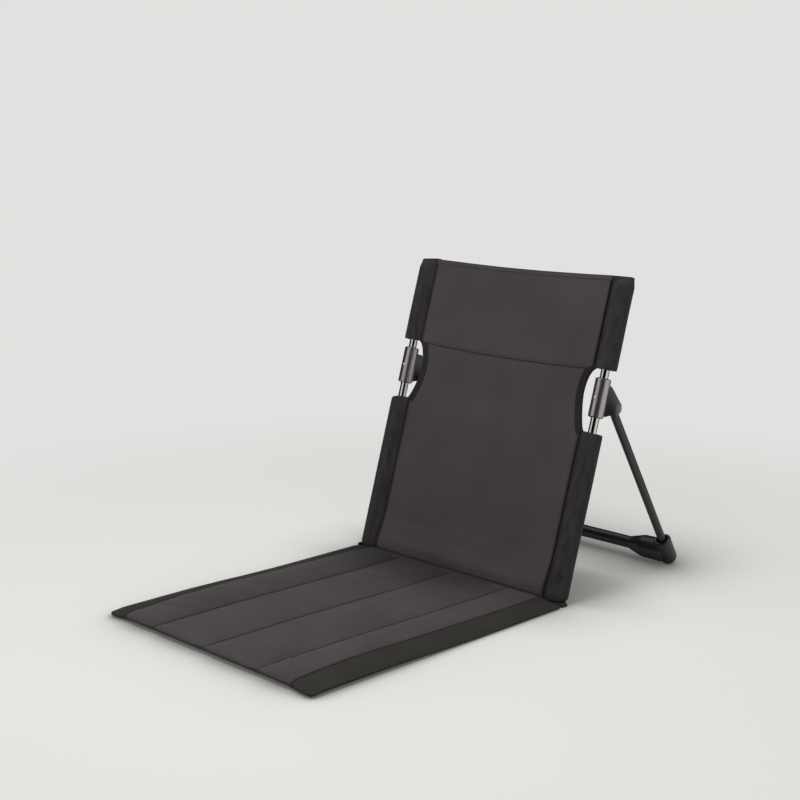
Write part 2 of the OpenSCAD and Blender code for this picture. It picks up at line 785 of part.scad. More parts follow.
// Seat pad from seam x0 to seam x1. An edge whose height follows the crease has lift 1
module seat_pad(x0, x1, lift0, lift1) {
    cols = len(pad_col_shares) - 1;
    rows = len(pad_row_shares) - 1;
    color(seat_cloth) soft_solid(
        [for (v = pad_row_shares, u = pad_col_shares)
            let (
                y = pad_front + (pad_back - pad_front) * v,
                pull = pad_pull * (1 - 2 * u) * sin(180 * v),
                seam = seam_z + rise_z(y),
                edge = seam + (lift0 * (1 - u) + lift1 * u) * (crease_z(y) - seam),
                crown = pow(max(0, sin(180 * u)), crown_share)
            )
            [x0 + (x1 - x0) * u + pull, y, edge + (seam + pad_crown - edge) * crown * pad_full(y)]],
        [for (v = pad_row_shares, u = pad_col_shares)
            let (y = pad_front + (pad_back - pad_front) * v, pull = pad_pull * (1 - 2 * u) * sin(180 * v))
            [x0 + (x1 - x0) * u + pull, y, pad_z0]],
        cols, rows
    );
}

module inner_pad(side) {
    on_side(side) seat_pad(seam_gap / 2, inner_seam_x - seam_gap / 2, 0, 0);
}

module outer_pad(side) {
    on_side(side) seat_pad(inner_seam_x + seam_gap / 2, crease_x - seam_gap / 2, 0, 1);
}

// Sloping band at the side of the seat, from the crease down to its outer edge
module seat_band(side) {
    cols = len(band_col_shares) - 1;
    rows = len(pad_row_shares) - 1;
    x0 = crease_x + seam_gap / 2;
    x1 = seat_w / 2;
    color(band_cloth) on_side(side) soft_solid(
        [for (v = pad_row_shares, u = band_col_shares)
            let (
                y = pad_front + (pad_back - pad_front) * v,
                edge = band_edge_z + rise_z(y),
                inner = crease_z(y)
            )
            [x0 + (x1 - x0) * u, y, inner + (edge - inner) * u * sqrt(u)]],
        [for (v = pad_row_shares, u = band_col_shares)
            let (y = pad_front + (pad_back - pad_front) * v)
            [x0 + (x1 - x0) * u, y, pad_z0]],
        cols, rows
    );
}

module front_hem() {
    half = seat_w / 2;
    bulge = front_hem_t / 3;
    color(band_cloth) translate([-half, 0, 0]) rotate([90, 0, 90]) linear_extrude(2 * half)
        polygon(rounded_outline([
            [seat_front, front_hem_z - front_hem_t, bulge],
            [seat_front + front_hem_w, 0, 0],
            [seat_front + front_hem_w, front_hem_z, 0],
            [seat_front, front_hem_z, bulge]
        ]));
}

module rear_hem() {
    half = seat_w / 2 - seat_corner_r;
    color(band_cloth) translate([-half, seat_back - rear_hem_w, pad_z0])
        cube([2 * half, rear_hem_w, seam_z - pad_z0]);
}

pole(-1);  // left_pole
pole(1);  // right_pole
pole_cap(-1);  // left_pole_cap
pole_cap(1);  // right_pole_cap
pole_foot(-1);  // left_pole_foot
pole_foot(1);  // right_pole_foot
collar(-1);  // left_collar
collar(1);  // right_collar
hub_bracket(-1);  // left_hub_bracket
hub_bracket(1);  // right_hub_bracket
hub_rivet(-1);  // left_hub_rivet
hub_rivet(1);  // right_hub_rivet
pivot_pin(-1);  // left_pivot_pin
pivot_pin(1);  // right_pivot_pin
leg(-1);  // left_leg
leg(1);  // right_leg
leg_eye(-1);  // left_leg_eye
leg_eye(1);  // right_leg_eye
leg_tip(-1);  // left_leg_tip
leg_tip(1);  // right_leg_tip
crossbar();
foot(-1);  // left_foot
foot(1);  // right_foot
back_panel();
head_panel();
top_hem();
upper_sleeve(-1);  // left_upper_sleeve
upper_sleeve(1);  // right_upper_sleeve
lower_sleeve(-1);  // left_lower_sleeve
lower_sleeve(1);  // right_lower_sleeve
cutout_binding(-1);  // left_cutout_binding
cutout_binding(1);  // right_cutout_binding
foot_pocket(-1);  // left_foot_pocket
foot_pocket(1);  // right_foot_pocket
fold_strip();
seat_underside();
outer_pad(-1);  // seat_pad_far_left
inner_pad(-1);  // seat_pad_left
inner_pad(1);  // seat_pad_right
outer_pad(1);  // seat_pad_far_right
seat_band(-1);  // left_seat_band
seat_band(1);  // right_seat_band
front_hem();
rear_hem();
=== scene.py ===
import functools
from math import copysign, cos, exp, pi, radians, sin, sqrt, tan

import bmesh
import bpy
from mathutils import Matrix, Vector, noise


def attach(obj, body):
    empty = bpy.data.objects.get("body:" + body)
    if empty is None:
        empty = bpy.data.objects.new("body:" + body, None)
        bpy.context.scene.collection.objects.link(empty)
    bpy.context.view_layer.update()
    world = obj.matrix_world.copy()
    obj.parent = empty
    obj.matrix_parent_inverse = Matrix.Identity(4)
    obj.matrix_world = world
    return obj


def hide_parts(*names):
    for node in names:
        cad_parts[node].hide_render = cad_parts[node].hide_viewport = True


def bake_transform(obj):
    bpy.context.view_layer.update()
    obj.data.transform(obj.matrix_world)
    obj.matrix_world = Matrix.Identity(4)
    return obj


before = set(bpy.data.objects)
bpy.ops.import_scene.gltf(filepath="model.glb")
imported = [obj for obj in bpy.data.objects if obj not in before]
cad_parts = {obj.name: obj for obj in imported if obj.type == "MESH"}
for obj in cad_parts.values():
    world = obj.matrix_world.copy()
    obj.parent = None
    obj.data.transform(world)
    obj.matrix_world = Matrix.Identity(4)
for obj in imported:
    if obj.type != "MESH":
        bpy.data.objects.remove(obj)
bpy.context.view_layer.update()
scene = bpy.context.scene
mm = 0.001


# hex colours are sRGB, the shader sockets want linear light
def hexColor(code):
    parts = [int(code[k:k + 2], 16) / 255 for k in (1, 3, 5)]
    return [c / 12.92 if c <= 0.04045 else ((c + 0.055) / 1.055) ** 2.4 for c in parts] + [1.0]


# each key names a socket, gives its number, or names a property of the node
# a value that is an output, or a node for its first one, is linked, and any other is set
def addNode(tree, kind, settings={}):
    node = tree.nodes.new("ShaderNode" + kind)
    for key, value in settings.items():
        if isinstance(value, bpy.types.Node):
            value = value.outputs[0]
        if isinstance(value, bpy.types.NodeSocket):
            tree.links.new(value, node.inputs[key])
        elif isinstance(key, int) or key in node.inputs:
            node.inputs[key].default_value = value
        else:
            setattr(node, key, value)
    return node


# empties the nodes of a material or world and gives the function that adds to them
def nodeAdder(owner):
    owner.use_nodes = True
    owner.node_tree.nodes.clear()
    return functools.partial(addNode, owner.node_tree)


def newMaterial(name):
    material = bpy.data.materials.new(name)
    return material, nodeAdder(material)


def newObject(name, data):
    made = bpy.data.objects.new(name, data)
    scene.collection.objects.link(made)
    return made


# values in equal steps from one to another, both ends included
def evenly(low, high, count):
    return [low + (high - low) * k / count for k in range(count + 1)]


print("camera")
camera = {
    "lens": 68.27, "sensor": 36, "nearest": 0.01, "shift": (0.0103, 0.0479),
    "place": (1.51295, -1.63185, 0.71540), "pitchDown": 12.728, "heading": 45.419,
}
cameraData = bpy.data.cameras.new("photoCamera")
cameraData.lens = camera["lens"]
cameraData.sensor_width = camera["sensor"]
cameraData.shift_x, cameraData.shift_y = camera["shift"]
cameraData.clip_start = camera["nearest"]
cameraObject = newObject("photoCamera", cameraData)
cameraObject.location = camera["place"]
cameraObject.rotation_euler = (radians(90 - camera["pitchDown"]), 0, radians(camera["heading"]))
scene.camera = cameraObject


print("stage and light")
stage = {
    "pale": "#e1e1df", "sky": "#f6f6f4", "skyLevel": 0.55, "felt": "#0d0c0d",
    "floorSize": 14.0, "floorDrop": 0.0006, "floorLift": 0.155,
    # the floor's own soft contact shadow: its tone, its reach in metres and how deep it is
    "shadow": "#aaaaa7", "contactReach": 0.16, "contactPower": 9.0, "contactSamples": 24,
    # between these distances from the chair the floor turns into the backdrop
    "fadeFrom": 0.5, "fadeTo": 1.25,
    # dark flags that only mirrors see: distance, height, and compass angles in degrees from +X
    "flags": {"frontFlag": (1.1, 1.7, -82, -9), "rearFlag": (0.95, 1.0, 56, 226)}, "flagFacets": 24,
    "lamps": {
        # name: place, aim, size across, watts
        "frontSoftbox": ((0.0, -0.95, 2.35), (0, 0, 0.1), 0.9, 17.5),
        "overheadSoftbox": ((0.2, 0.6, 2.4), (0, 0, 0.1), 1.8, 6.0),
        "frontFill": ((0.6, -2.3, 0.9), (0, 0, 0.15), 1.4, 4.5),
    },
}
scene.view_settings.view_transform = "Standard"

# the camera and mirrors see the pale backdrop, and the softer sky lights all else
world = bpy.data.worlds.new("studioWorld")
scene.world = world
add = nodeAdder(world)
rays = add("LightPath")
seen = add("Math", {"operation": "MAXIMUM", 0: rays.outputs["Is Camera Ray"],
                    1: rays.outputs["Is Transmission Ray"]})
seen = add("Math", {"operation": "MAXIMUM", 0: seen, 1: rays.outputs["Is Glossy Ray"]})
skyLight = add("Background", {"Color": hexColor(stage["sky"]), "Strength": stage["skyLevel"]})
backdrop = add("Background", {"Color": hexColor(stage["pale"]), "Strength": 1.0})
skyMix = add("MixShader", {0: seen, 1: skyLight, 2: backdrop})
add("OutputWorld", {"Surface": skyMix})

for name, (place, aim, across, watts) in stage["lamps"].items():
    lampData = bpy.data.lights.new(name, "AREA")
    lampData.shape = "DISK"
    lampData.size = across
    lampData.energy = watts
    lamp = newObject(name, lampData)
    lamp.location = place
    lamp.rotation_euler = (Vector(aim) - Vector(place)).to_track_quat("-Z", "Y").to_euler()
    lamp.visible_glossy = False

# black felt on curved stands, as a photographer puts up beside bright metal
flagFelt, add = newMaterial("blackFlagFelt")
felt = add("BsdfDiffuse", {"Color": hexColor(stage["felt"])})
add("OutputMaterial", {"Surface": felt})
for name, (away, tall, start, end) in stage["flags"].items():
    facets = stage["flagFacets"]
    angles = [radians(a) for a in evenly(start, end, facets)]
    points = [(away * cos(a), away * sin(a), z) for a in angles for z in (0, tall)]
    mesh = bpy.data.meshes.new(name)
    mesh.from_pydata(points, [], [(2 * k, 2 * k + 2, 2 * k + 3, 2 * k + 1) for k in range(facets)])
    flag = newObject(name, mesh)
    flag.data.materials.append(flagFelt)
    flag.visible_camera = flag.visible_diffuse = flag.visible_shadow = flag.visible_transmission = False

# matt floor paper that fades into the backdrop away from the chair
floorPaper, add = newMaterial("mattFloorPaper")
where = add("TexCoord")
reach = add("VectorMath", {"operation": "LENGTH", 0: where.outputs["Object"]})
fade = add("MapRange", {"interpolation_type": "SMOOTHSTEP", "From Min": stage["fadeFrom"],
                        "From Max": stage["fadeTo"], "Value": reach.outputs["Value"]})
# soft contact shadow, as a large softbox leaves under a thin pad
nearby = add("AmbientOcclusion", {"samples": stage["contactSamples"], "Distance": stage["contactReach"]})
contact = add("Math", {"operation": "POWER", 1: stage["contactPower"], 0: nearby.outputs["AO"]})
tint = add("Mix", {"data_type": "RGBA", 6: hexColor(stage["shadow"]), 7: hexColor(stage["pale"]), 0: contact})
paper = add("BsdfDiffuse", {"Color": tint.outputs[2]})
glow = add("Emission", {"Color": hexColor(stage["pale"]), "Strength": 1.0})
# to the camera the paper is a little brighter than its light makes it, and it keeps the shadow
rays = add("LightPath")
lift = add("Math", {"operation": "MULTIPLY", 1: stage["floorLift"], 0: rays.outputs["Is Camera Ray"]})
lifted = add("Emission", {"Color": tint.outputs[2], "Strength": lift})
paper = add("AddShader", {0: paper, 1: lifted})
floorMix = add("MixShader", {0: fade, 1: paper, 2: glow})
add("OutputMaterial", {"Surface": floorMix})
bpy.ops.mesh.primitive_plane_add(size=stage["floorSize"], location=(0, 0, -stage["floorDrop"]))
floor = bpy.context.object
floor.name = "studioFloor"
floor.data.materials.append(floorPaper)


print("materials")


# tight plain-weave polyester: matt, with a faint sheen along folds and seams
# real threads lie 0.35 mm apart, drawn at 0.9 mm so that the weave shows up close
weave = {
    "thread": 0.9 * mm, "wave": {"Scale": 0.16, "Distortion": 0.6, "Detail": 1.0, "Detail Scale": 0.4},
    # uneven dye and fine slubs: their share of the tone, the slubs per metre, and bumps (strength, depth)
    "dyeShare": 0.8, "slubShare": 0.25, "slubScale": 420.0,
    "weaveBump": (0.22, 0.25 * mm), "slubBump": (0.10, 0.5 * mm),
    "dustAndShadeTone": "#141213", "specular": 0.32, "sheenRough": 0.45, "sheenTint": "#8f8686",
}


def wovenPolyester(name, base, wornAndHighlight, sheen, rough=0.78, streak=(14.0, 14.0, 14.0)):
    material, add = newMaterial(name)
    where = add("TexCoord")
    flat = add("Mapping", {"Scale": (1 / weave["thread"],) * 3, "Vector": where.outputs["UV"]})
    warp, weft = [add("TexWave", {"bands_direction": way, **weave["wave"], "Vector": flat}) for way in "XY"]
    threads = add("Math", {"operation": "MULTIPLY", 0: warp.outputs["Fac"], 1: weft.outputs["Fac"]})
    # broad uneven tone of dyed cloth, and fine slubs; stretched into streaks, as on the sleeves, the tone is also
    # painted highlight
    drawn = add("Mapping", {"Scale": streak, "Vector": where.outputs["Object"]})
    cloud = add("TexNoise", {"Scale": 1.0, "Detail": 3.0, "Roughness": 0.5, "Vector": drawn})
    dye = add("MapRange", {"From Min": 0.3, "From Max": 0.7, "Value": cloud.outputs["Fac"]})
    slub = add("TexNoise", {"Scale": weave["slubScale"], "Detail": 2.0, "Vector": where.outputs["Object"]})
    tone = add("Math", {"operation": "MULTIPLY", 1: weave["dyeShare"], 0: dye})
    tone = add("Math", {"operation": "MULTIPLY_ADD", 1: weave["slubShare"], 0: slub.outputs["Fac"], 2: tone})
    # seam lines hold dust and shadow, and folds, rims and edges near the floor take painted shade: the pieces carry
    # both as an attribute
    seam = add("Attribute", {"attribute_name": "seamShade"})
    cloth = add("Mix", {"data_type": "RGBA", 6: hexColor(base), 7: hexColor(wornAndHighlight), 0: tone})
    shaded = add("Mix", {"data_type": "RGBA", 7: hexColor(weave["dustAndShadeTone"]), 0: seam.outputs["Fac"],
                         6: cloth.outputs[2]})
    strength, depth = weave["weaveBump"]
    bump = add("Bump", {"Strength": strength, "Distance": depth, "Height": threads})
    strength, depth = weave["slubBump"]
    bump = add("Bump", {"Strength": strength, "Distance": depth, "Height": slub.outputs["Fac"], "Normal": bump})
    surface = add("BsdfPrincipled", {
        "Roughness": rough, "Specular IOR Level": weave["specular"], "Sheen Weight": sheen,
        "Sheen Roughness": weave["sheenRough"], "Sheen Tint": hexColor(weave["sheenTint"]),
        "Base Color": shaded.outputs[2], "Normal": bump})
    add("OutputMaterial", {"Surface": surface})
    return material


# tone drift per metre, how far the roughness wanders, the grain's depth, and how the painted highlight round a nose
# fades out
hard = {"driftScale": 22.0, "wear": (0.86, 1.14), "grain": 0.1 * mm, "noseOuter": 0.018, "noseInner": 0.003}


# bent, drawn or moulded hard surfaces: a tone that drifts a little, and a grain of real size
def hardSurface(name, base, drift, metallic, rough, grainSize, grainDepth, coat=0.0, specular=0.5, nose=None):
    material, add = newMaterial(name)
    where = add("TexCoord").outputs["Object"]
    cloud = add("TexNoise", {"Scale": hard["driftScale"], "Detail": 4.0, "Vector": where})
    grain = add("TexNoise", {"Scale": 1 / grainSize, "Detail": 2.0, "Roughness": 0.6, "Vector": where})
    tint = add("Mix", {"data_type": "RGBA", 6: hexColor(base), 7: hexColor(drift), 0: cloud.outputs["Fac"]})
    least, most = [rough * share for share in hard["wear"]]
    wear = add("MapRange", {"From Min": 0.3, "From Max": 0.7, "To Min": least, "To Max": most,
                            "Value": cloud.outputs["Fac"]})
    bump = add("Bump", {"Strength": grainDepth, "Distance": hard["grain"], "Height": grain.outputs["Fac"]})
    if nose:
        # the moulded cheek is slightly dished towards the collar, and lightened round its nose by a painted
        # highlight
        place, dish, paintedNoseHighlight = nose
        off = add("VectorMath", {"operation": "SUBTRACT", 0: place, 1: where})
        # only the distance in the wing's own plane counts
        off = add("VectorMath", {"operation": "MULTIPLY", 1: (0, 1, 1), 0: off})
        tilt = add("VectorMath", {"operation": "SCALE", "Scale": dish, 0: off})
        facing = add("NewGeometry")
        dished = add("VectorMath", {"operation": "ADD", 0: tilt, 1: facing.outputs["Normal"]})
        dished = add("VectorMath", {"operation": "NORMALIZE", 0: dished})
        material.node_tree.links.new(dished.outputs[0], bump.inputs["Normal"])
        away = add("VectorMath", {"operation": "LENGTH", 0: off})
        paintedHighlightMask = add("MapRange", {"interpolation_type": "SMOOTHSTEP", "From Min": hard["noseOuter"],
                               "From Max": hard["noseInner"], "Value": away.outputs["Value"]})
        tint = add("Mix", {"data_type": "RGBA", 7: hexColor(paintedNoseHighlight), 0: paintedHighlightMask, 6: tint.outputs[2]})
    surface = add("BsdfPrincipled", {"Metallic": metallic, "Coat Weight": coat, "Specular IOR Level": specular,
                                     "Base Color": tint.outputs[2], "Roughness": wear, "Normal": bump})
    add("OutputMaterial", {"Surface": surface})
    return material


# each line gives: colour, worn colour (on the sleeves also painted highlight), sheen, and where they differ
# roughness and the noise's scale
# the seat and back are one warm charcoal cloth, the seat's copy a little lighter as painted light on the upward
# seat; the sleeves and tapes a blacker one
backPolyester = wovenPolyester("charcoalPolyesterBack", "#413b3c", "#494243", 0.20)
seatPolyester = wovenPolyester("charcoalPolyesterSeat", "#423d3e", "#4c4748", 0.25)
# the side bands: a slightly darker cloth, darkened further by painted shade on their steep slopes
bandPolyester = wovenPolyester("charcoalPolyesterBand", "#292724", "#33312d", 0.12)
# the sleeves' tone is stretched into lengthwise streaks over a wide range: random tone, and painted highlights
# along the poles
sleevePolyester = wovenPolyester("blackPolyesterSleeve", "#1e1b1d", "#363235", 0.30, 0.78, (110.0, 110.0, 6.0))
tapePolyester = wovenPolyester("blackPolyesterTape", "#1e1b1d", "#282426", 0.12, 0.85)
# each line gives: colour, drifted colour, metal, roughness, grain size and strength, coat, specular, nose
threadPolyester = hardSurface("bondedThread", "#211f21", "#2b282b", 0.0, 0.6, 0.2 * mm, 0.3)
# bright nickel-plated tube: nearly a mirror, with fine draw marks
platedSteel = hardSurface("nickelPlatedSteel", "#dedbd9", "#d0cdcb", 1.0, 0.10, 0.5 * mm, 0.02)
# satin gunmetal coat over a drawn collar: soft broad highlight
gunmetalCoat = hardSurface("satinGunmetalCoat", "#bcb5b6", "#aba4a5", 1.0, 0.33, 0.6 * mm, 0.015)
brightRivet = hardSurface("stainlessRivet", "#f0eeec", "#e2e0de", 0.7, 0.30, 0.4 * mm, 0.03)
# powder coat on steel tube: satin black with a fine orange peel
powderBlack = hardSurface("blackPowderCoat", "#211d1e", "#292526", 0.0, 0.36, 0.6 * mm, 0.10, 0.3)
# glass-filled nylon, moulded: satin black, slightly grainy, with a grey painted highlight on the hub's nose
mouldedNylon = hardSurface("blackMouldedNylon", "#1c191b", "#242022", 0.0, 0.38, 0.3 * mm, 0.10, 0.0, 0.8)
hubNylon = hardSurface("blackMouldedNylonHub", "#1c191b", "#242022", 0.0, 0.34, 0.3 * mm, 0.06, 0.0, 0.8,
                       ((0, 0.129, 0.268), 16.0, "#6e6a6b"))

finishes = {
    "pole": platedSteel, "pole_cap": mouldedNylon, "pole_foot": mouldedNylon, "collar": gunmetalCoat,
    "hub_bracket": hubNylon, "hub_rivet": brightRivet, "pivot_pin": brightRivet, "leg": powderBlack,
    "leg_eye": mouldedNylon, "leg_tip": mouldedNylon, "crossbar": powderBlack, "foot": mouldedNylon,
}
for nodeName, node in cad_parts.items():
    kind = nodeName.replace("left_", "", 1).replace("right_", "", 1)
    node.data.materials.clear()
    node.data.materials.append(finishes.get(kind, backPolyester))


print("cloth helpers")
# the back leans to the rear by this angle
lean = radians(17.0)
sides = ((-1, "left"), (1, "right"))


# a point of the leaning back: across, rearwards and up along the poles, in millimetres
def onBack(x, y, z):
    return Vector((x, y * cos(lean) + z * sin(lean), z * cos(lean) - y * sin(lean))) * mm


# from 0 at a to 1 at b, level at both ends
def ease(a, b, x):
    t = min(1.0, max(0.0, (x - a) / (b - a)))
    return t * t * (3 - 2 * t)


def ripple(x, y, z=0.0):
    return noise.noise(Vector((x, y, z)))


# 1 at zero, fading to 0 on both sides
def bell(x, wide):
    return exp(-(x / wide) ** 2)


# how far a corner of this radius has turned away at a distance past its start
def rounding(radius, past):
    return radius - sqrt(max(0.0, radius ** 2 - max(0.0, past) ** 2))


# a point of a rounded square at an angle, the squarer the smaller the power
def squarish(angle, power):
    return [copysign(abs(v) ** power, v) for v in (cos(angle), sin(angle))]


# cloth surface through rows of points, its UV map in metres of cloth, and its dust and painted shade per point
def clothMesh(name, rows, wrap=False, closed=False, seam=None):
    width = len(rows[0])
    cells = width if wrap else width - 1
    vertices = [p for row in rows for p in row]
    middle = rows[len(rows) // 2]
    across = [0.0]
    for i in range(cells):
        across.append(across[-1] + (Vector(middle[(i + 1) % width]) - Vector(middle[i])).length)
    along = [0.0]
    for j in range(len(rows) - 1):
        along.append(along[-1] + (Vector(rows[j + 1][width // 2]) - Vector(rows[j][width // 2])).length)
    faces, coords = [], []
    for j in range(len(rows) - 1):
        for i in range(cells):
            n = (i + 1) % width
            faces.append((j * width + i, j * width + n, (j + 1) * width + n, (j + 1) * width + i))
            coords += [(across[i], along[j]), (across[i + 1], along[j]),
                       (across[i + 1], along[j + 1]), (across[i], along[j + 1])]
    if closed:
        last = (len(rows) - 1) * width
        faces.append(tuple(reversed(range(width))))
        faces.append(tuple(range(last, last + width)))
        coords += [(p.x, p.y) for p in reversed(rows[0])] + [(p.x, p.y) for p in rows[-1]]
    mesh = bpy.data.meshes.new(name)
    mesh.from_pydata(vertices, [], faces)
    layer = mesh.uv_layers.new(name="cloth")
    for k, uv in enumerate(coords):
        layer.data[k].uv = uv
    shade = mesh.attributes.new("seamShade", "FLOAT", "POINT")
    if seam:
        for k, value in enumerate(seam):
            shade.data[k].value = value
    mesh.validate()
    return newObject(name, mesh)


def onlySelect(piece):
    bpy.ops.object.select_all(action="DESELECT")
    piece.select_set(True)
    bpy.context.view_layer.objects.active = piece


def applyModifier(piece, kind, settings):
    onlySelect(piece)
    modifier = piece.modifiers.new(kind.lower(), kind)
    for key, value in settings.items():
        setattr(modifier, key, value)
    bpy.ops.object.modifier_apply(modifier=modifier.name)


def editMesh(piece, operation, **settings):
    onlySelect(piece)
    bpy.ops.object.mode_set(mode="EDIT")
    bpy.ops.mesh.select_all(action="SELECT")
    operation(**settings)
    bpy.ops.object.mode_set(mode="OBJECT")


def outwards(piece):
    editMesh(piece, bpy.ops.mesh.normals_make_consistent, inside=False)


# gives a piece its cloth or finish, smooth faces, and the body that it moves with
def dress(piece, material, body=None, smoothAngle=60):
    piece.data.materials.clear()
    piece.data.materials.append(material)
    onlySelect(piece)
    bpy.ops.object.shade_smooth_by_angle(angle=radians(smoothAngle))
    if body:
        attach(piece, body)


print("seat cushion")
seat = {
    "half": 214.5, "front": -490.0, "rear": -13.5,
    # where the seams lie across, and the grid's cells between them, closer towards the seams
    "seams": [-175.0, -110.0, 0.0, 110.0, 175.0], "cells": [12, 16, 26, 26, 16, 12], "bunchAcross": 0.6,
    # rows of the grid: close ones over the rolled front, the rest nearly even
    "rollRows": 10, "rollPower": 1.5, "pastRoll": 3.0, "midRows": 92, "bunchAlong": 0.2,
    # heights above the floor: seams and foam thin out towards the fold
    "seamRear": 5.4, "seamRise": 4.0, "foamRear": 5.2, "foamFront": 7.0, "creaseRear": 3.2, "creaseLift": 5.0,
    "leftCrease": 3.4, "bandFull": 1.3, "lowest": 1.4,
    "hemHeight": 9.2, "cornerHeight": 4.4, "edgeFront": 6.0, "edgeRear": 1.9, "rearDrop": 1.5, "hem": 1.5,
    # how far in from the front, and how far out from the middle, the rim's height changes
    "rimFront": 30.0, "rimSide": 150.0, "rimCorner": 172.0,
    "frontRoll": 13.0, "rearRoll": 40.0, "rim": 1.2, "underRoll": 26.0, "cornerRound": 9.0, "cornerDeep": 24.0,
    # the seams draw the front edge in: how far, how wide and how deep
    "scallop": 2.6, "scallopWide": 11.0, "scallopDeep": 40.0,
    # small puckers beside the seams and broad waves between them: height, then size across and along
    "pucker": 0.7, "puckerReach": 13.0, "puckerSize": (30.0, 5.5),
    "quilt": 0.8, "quiltSizes": ((50.0, 80.0, 2), (16.0, 34.0, 7)),
    # the left crease was sewn a little unevenly: sideways, its pitch and its width
    "wander": 1.8, "wanderPitch": 48.0, "wanderWide": 16.0,
    # slanting pulls: centre across and along, half sizes, height, slant and pitch
    "pulls": [(130, -448, 30, 32, 1.6, 0.9, 4.2), (60, -468, 44, 24, 1.0, 0.5, 5.0),
              (-140, -430, 34, 44, 1.2, -0.6, 6.0), (40, -300, 48, 60, 0.8, 0.35, 8.0),
              (-60, -120, 60, 50, 0.8, -0.5, 7.0), (135, -150, 30, 60, 0.6, 0.5, 7.0)],
    # light pressure between the seams; near the edges and the seams the skin is held
    "simulation": {"pressure": 4.0, "frames": 20, "cap": 2.6, "quality": 5,
                   "heldRows": 3, "heldColumns": 2, "heldRear": 22.0, "heldSeam": 1.0},
    # painted shade: dark seam lines of dust and shadow, the shadow in the fold, and the darkened turned-under rim
    # and underside
    "seamLine": 1.2, "foldShade": 0.75, "foldReach": 135.0, "rimShade": 0.6, "bandFrom": 175.2,
}
seatEdges = [-seat["half"]] + seat["seams"] + [seat["half"]]


def seatShare(y):
    return min(1.0, max(0.0, (seat["rear"] - y) / (seat["rear"] - seat["front"])))


def toSeam(x):
    return min(abs(x - s) for s in seat["seams"])


# dark line along each seam: dust and painted shadow
def seamLine(x):
    return bell(toSeam(x), seat["seamLine"])


# the shadow in the fold is lighter on the right, where the light comes in
def inShade(x):
    return 1 - 0.75 * ease(40, 140, x)


# height of the sewn seams, of the creases beside the bands, and of the rim
def seamHeight(y):
    return seat["seamRear"] + seat["seamRise"] * ease(0.05, 0.75, seatShare(y))


def creaseHeight(y, left=False):
    share = seatShare(y)
    lift = seat["creaseLift"] * bell(share - 0.8, 0.22)
    if left:
        lift += seat["leftCrease"] * ease(0.0, 0.12, share) * (1 - ease(0.55, 0.95, share))
    return seamHeight(y) + lift + seat["creaseRear"] * (1 - ease(0.3, 0.9, share))


def rimHeight(x, y):
    share = seatShare(y)
    side = seat["edgeRear"] + (seat["edgeFront"] - seat["edgeRear"]) * ease(0.35, 0.75, share)
    toCorner = ease(seat["rimCorner"], seat["half"], abs(x))
    front = seat["cornerHeight"] + (seat["hemHeight"] - seat["cornerHeight"]) * (1 - toCorner)
    rear = seamHeight(y) - seat["rearDrop"]
    atFront = 1 - ease(0, seat["rimFront"], y - seat["front"])
    atSide = ease(seat["rimSide"], seat["half"], abs(x))
    inner = rear + (front - rear) * ease(0.0, 0.9, share)
    side = side + (seat["cornerHeight"] - side) * atFront
    return inner + (side - inner) * atSide


# a roll from 0 at the edge to 1 inside, upright at the edge itself
def roll(x):
    c = min(1.0, max(0.0, x))
    return sqrt(1 - (1 - c) ** 2)


def seatTop(x, y):
    share = seatShare(y)
    k = max(i for i in range(len(seatEdges) - 1) if x >= seatEdges[i] - 1e-6)
    u = min(1.0, (x - seatEdges[k]) / (seatEdges[k + 1] - seatEdges[k]))
    inFront = roll((y - seat["front"] - seat["hem"]) / seat["frontRoll"])
    inRear = roll((seat["rear"] - y) / seat["rearRoll"])
    if k in (0, 5):
        u = 1 - u if k == 0 else u
        crease = creaseHeight(y, k == 0)
        edge = crease + (rimHeight(seat["half"], y) + seat["rim"] - crease) * u ** 1.25
        full = seat["bandFull"] * sin(pi * u) * inFront
    else:
        left = creaseHeight(y, True) if k == 1 else seamHeight(y)
        right = creaseHeight(y) if k == 4 else seamHeight(y)
        edge = left + (right - left) * u
        foam = seat["foamRear"] + (seat["foamFront"] - seat["foamRear"]) * ease(0.1, 0.7, share)
        full = foam * (1 - abs(2 * u - 1) ** 2.4) ** 0.8 * inRear
    lip = roll((y - seat["front"]) / seat["frontRoll"])
    front = rimHeight(x, y) + seat["rim"]
    return front + (edge + full - front) * lip


# shares from 0 to 1, drawn together at both ends
def spread(count, ends):
    return [(1 - ends) * k / count + ends * (0.5 - 0.5 * cos(pi * k / count)) for k in range(count + 1)]


seatXs = [-seat["half"]]
for k, count in enumerate(seat["cells"]):
    shares = spread(count, seat["bunchAcross"])[1:]
    seatXs += [seatEdges[k] + (seatEdges[k + 1] - seatEdges[k]) * s for s in shares]
rolled = seat["frontRoll"] + seat["pastRoll"]
seatYs = [seat["front"] + rolled * (k / seat["rollRows"]) ** seat["rollPower"] for k in range(seat["rollRows"])]
seatYs += [seat["front"] + rolled + (seat["rear"] - seat["front"] - rolled) * s
           for s in spread(seat["midRows"], seat["bunchAlong"])]


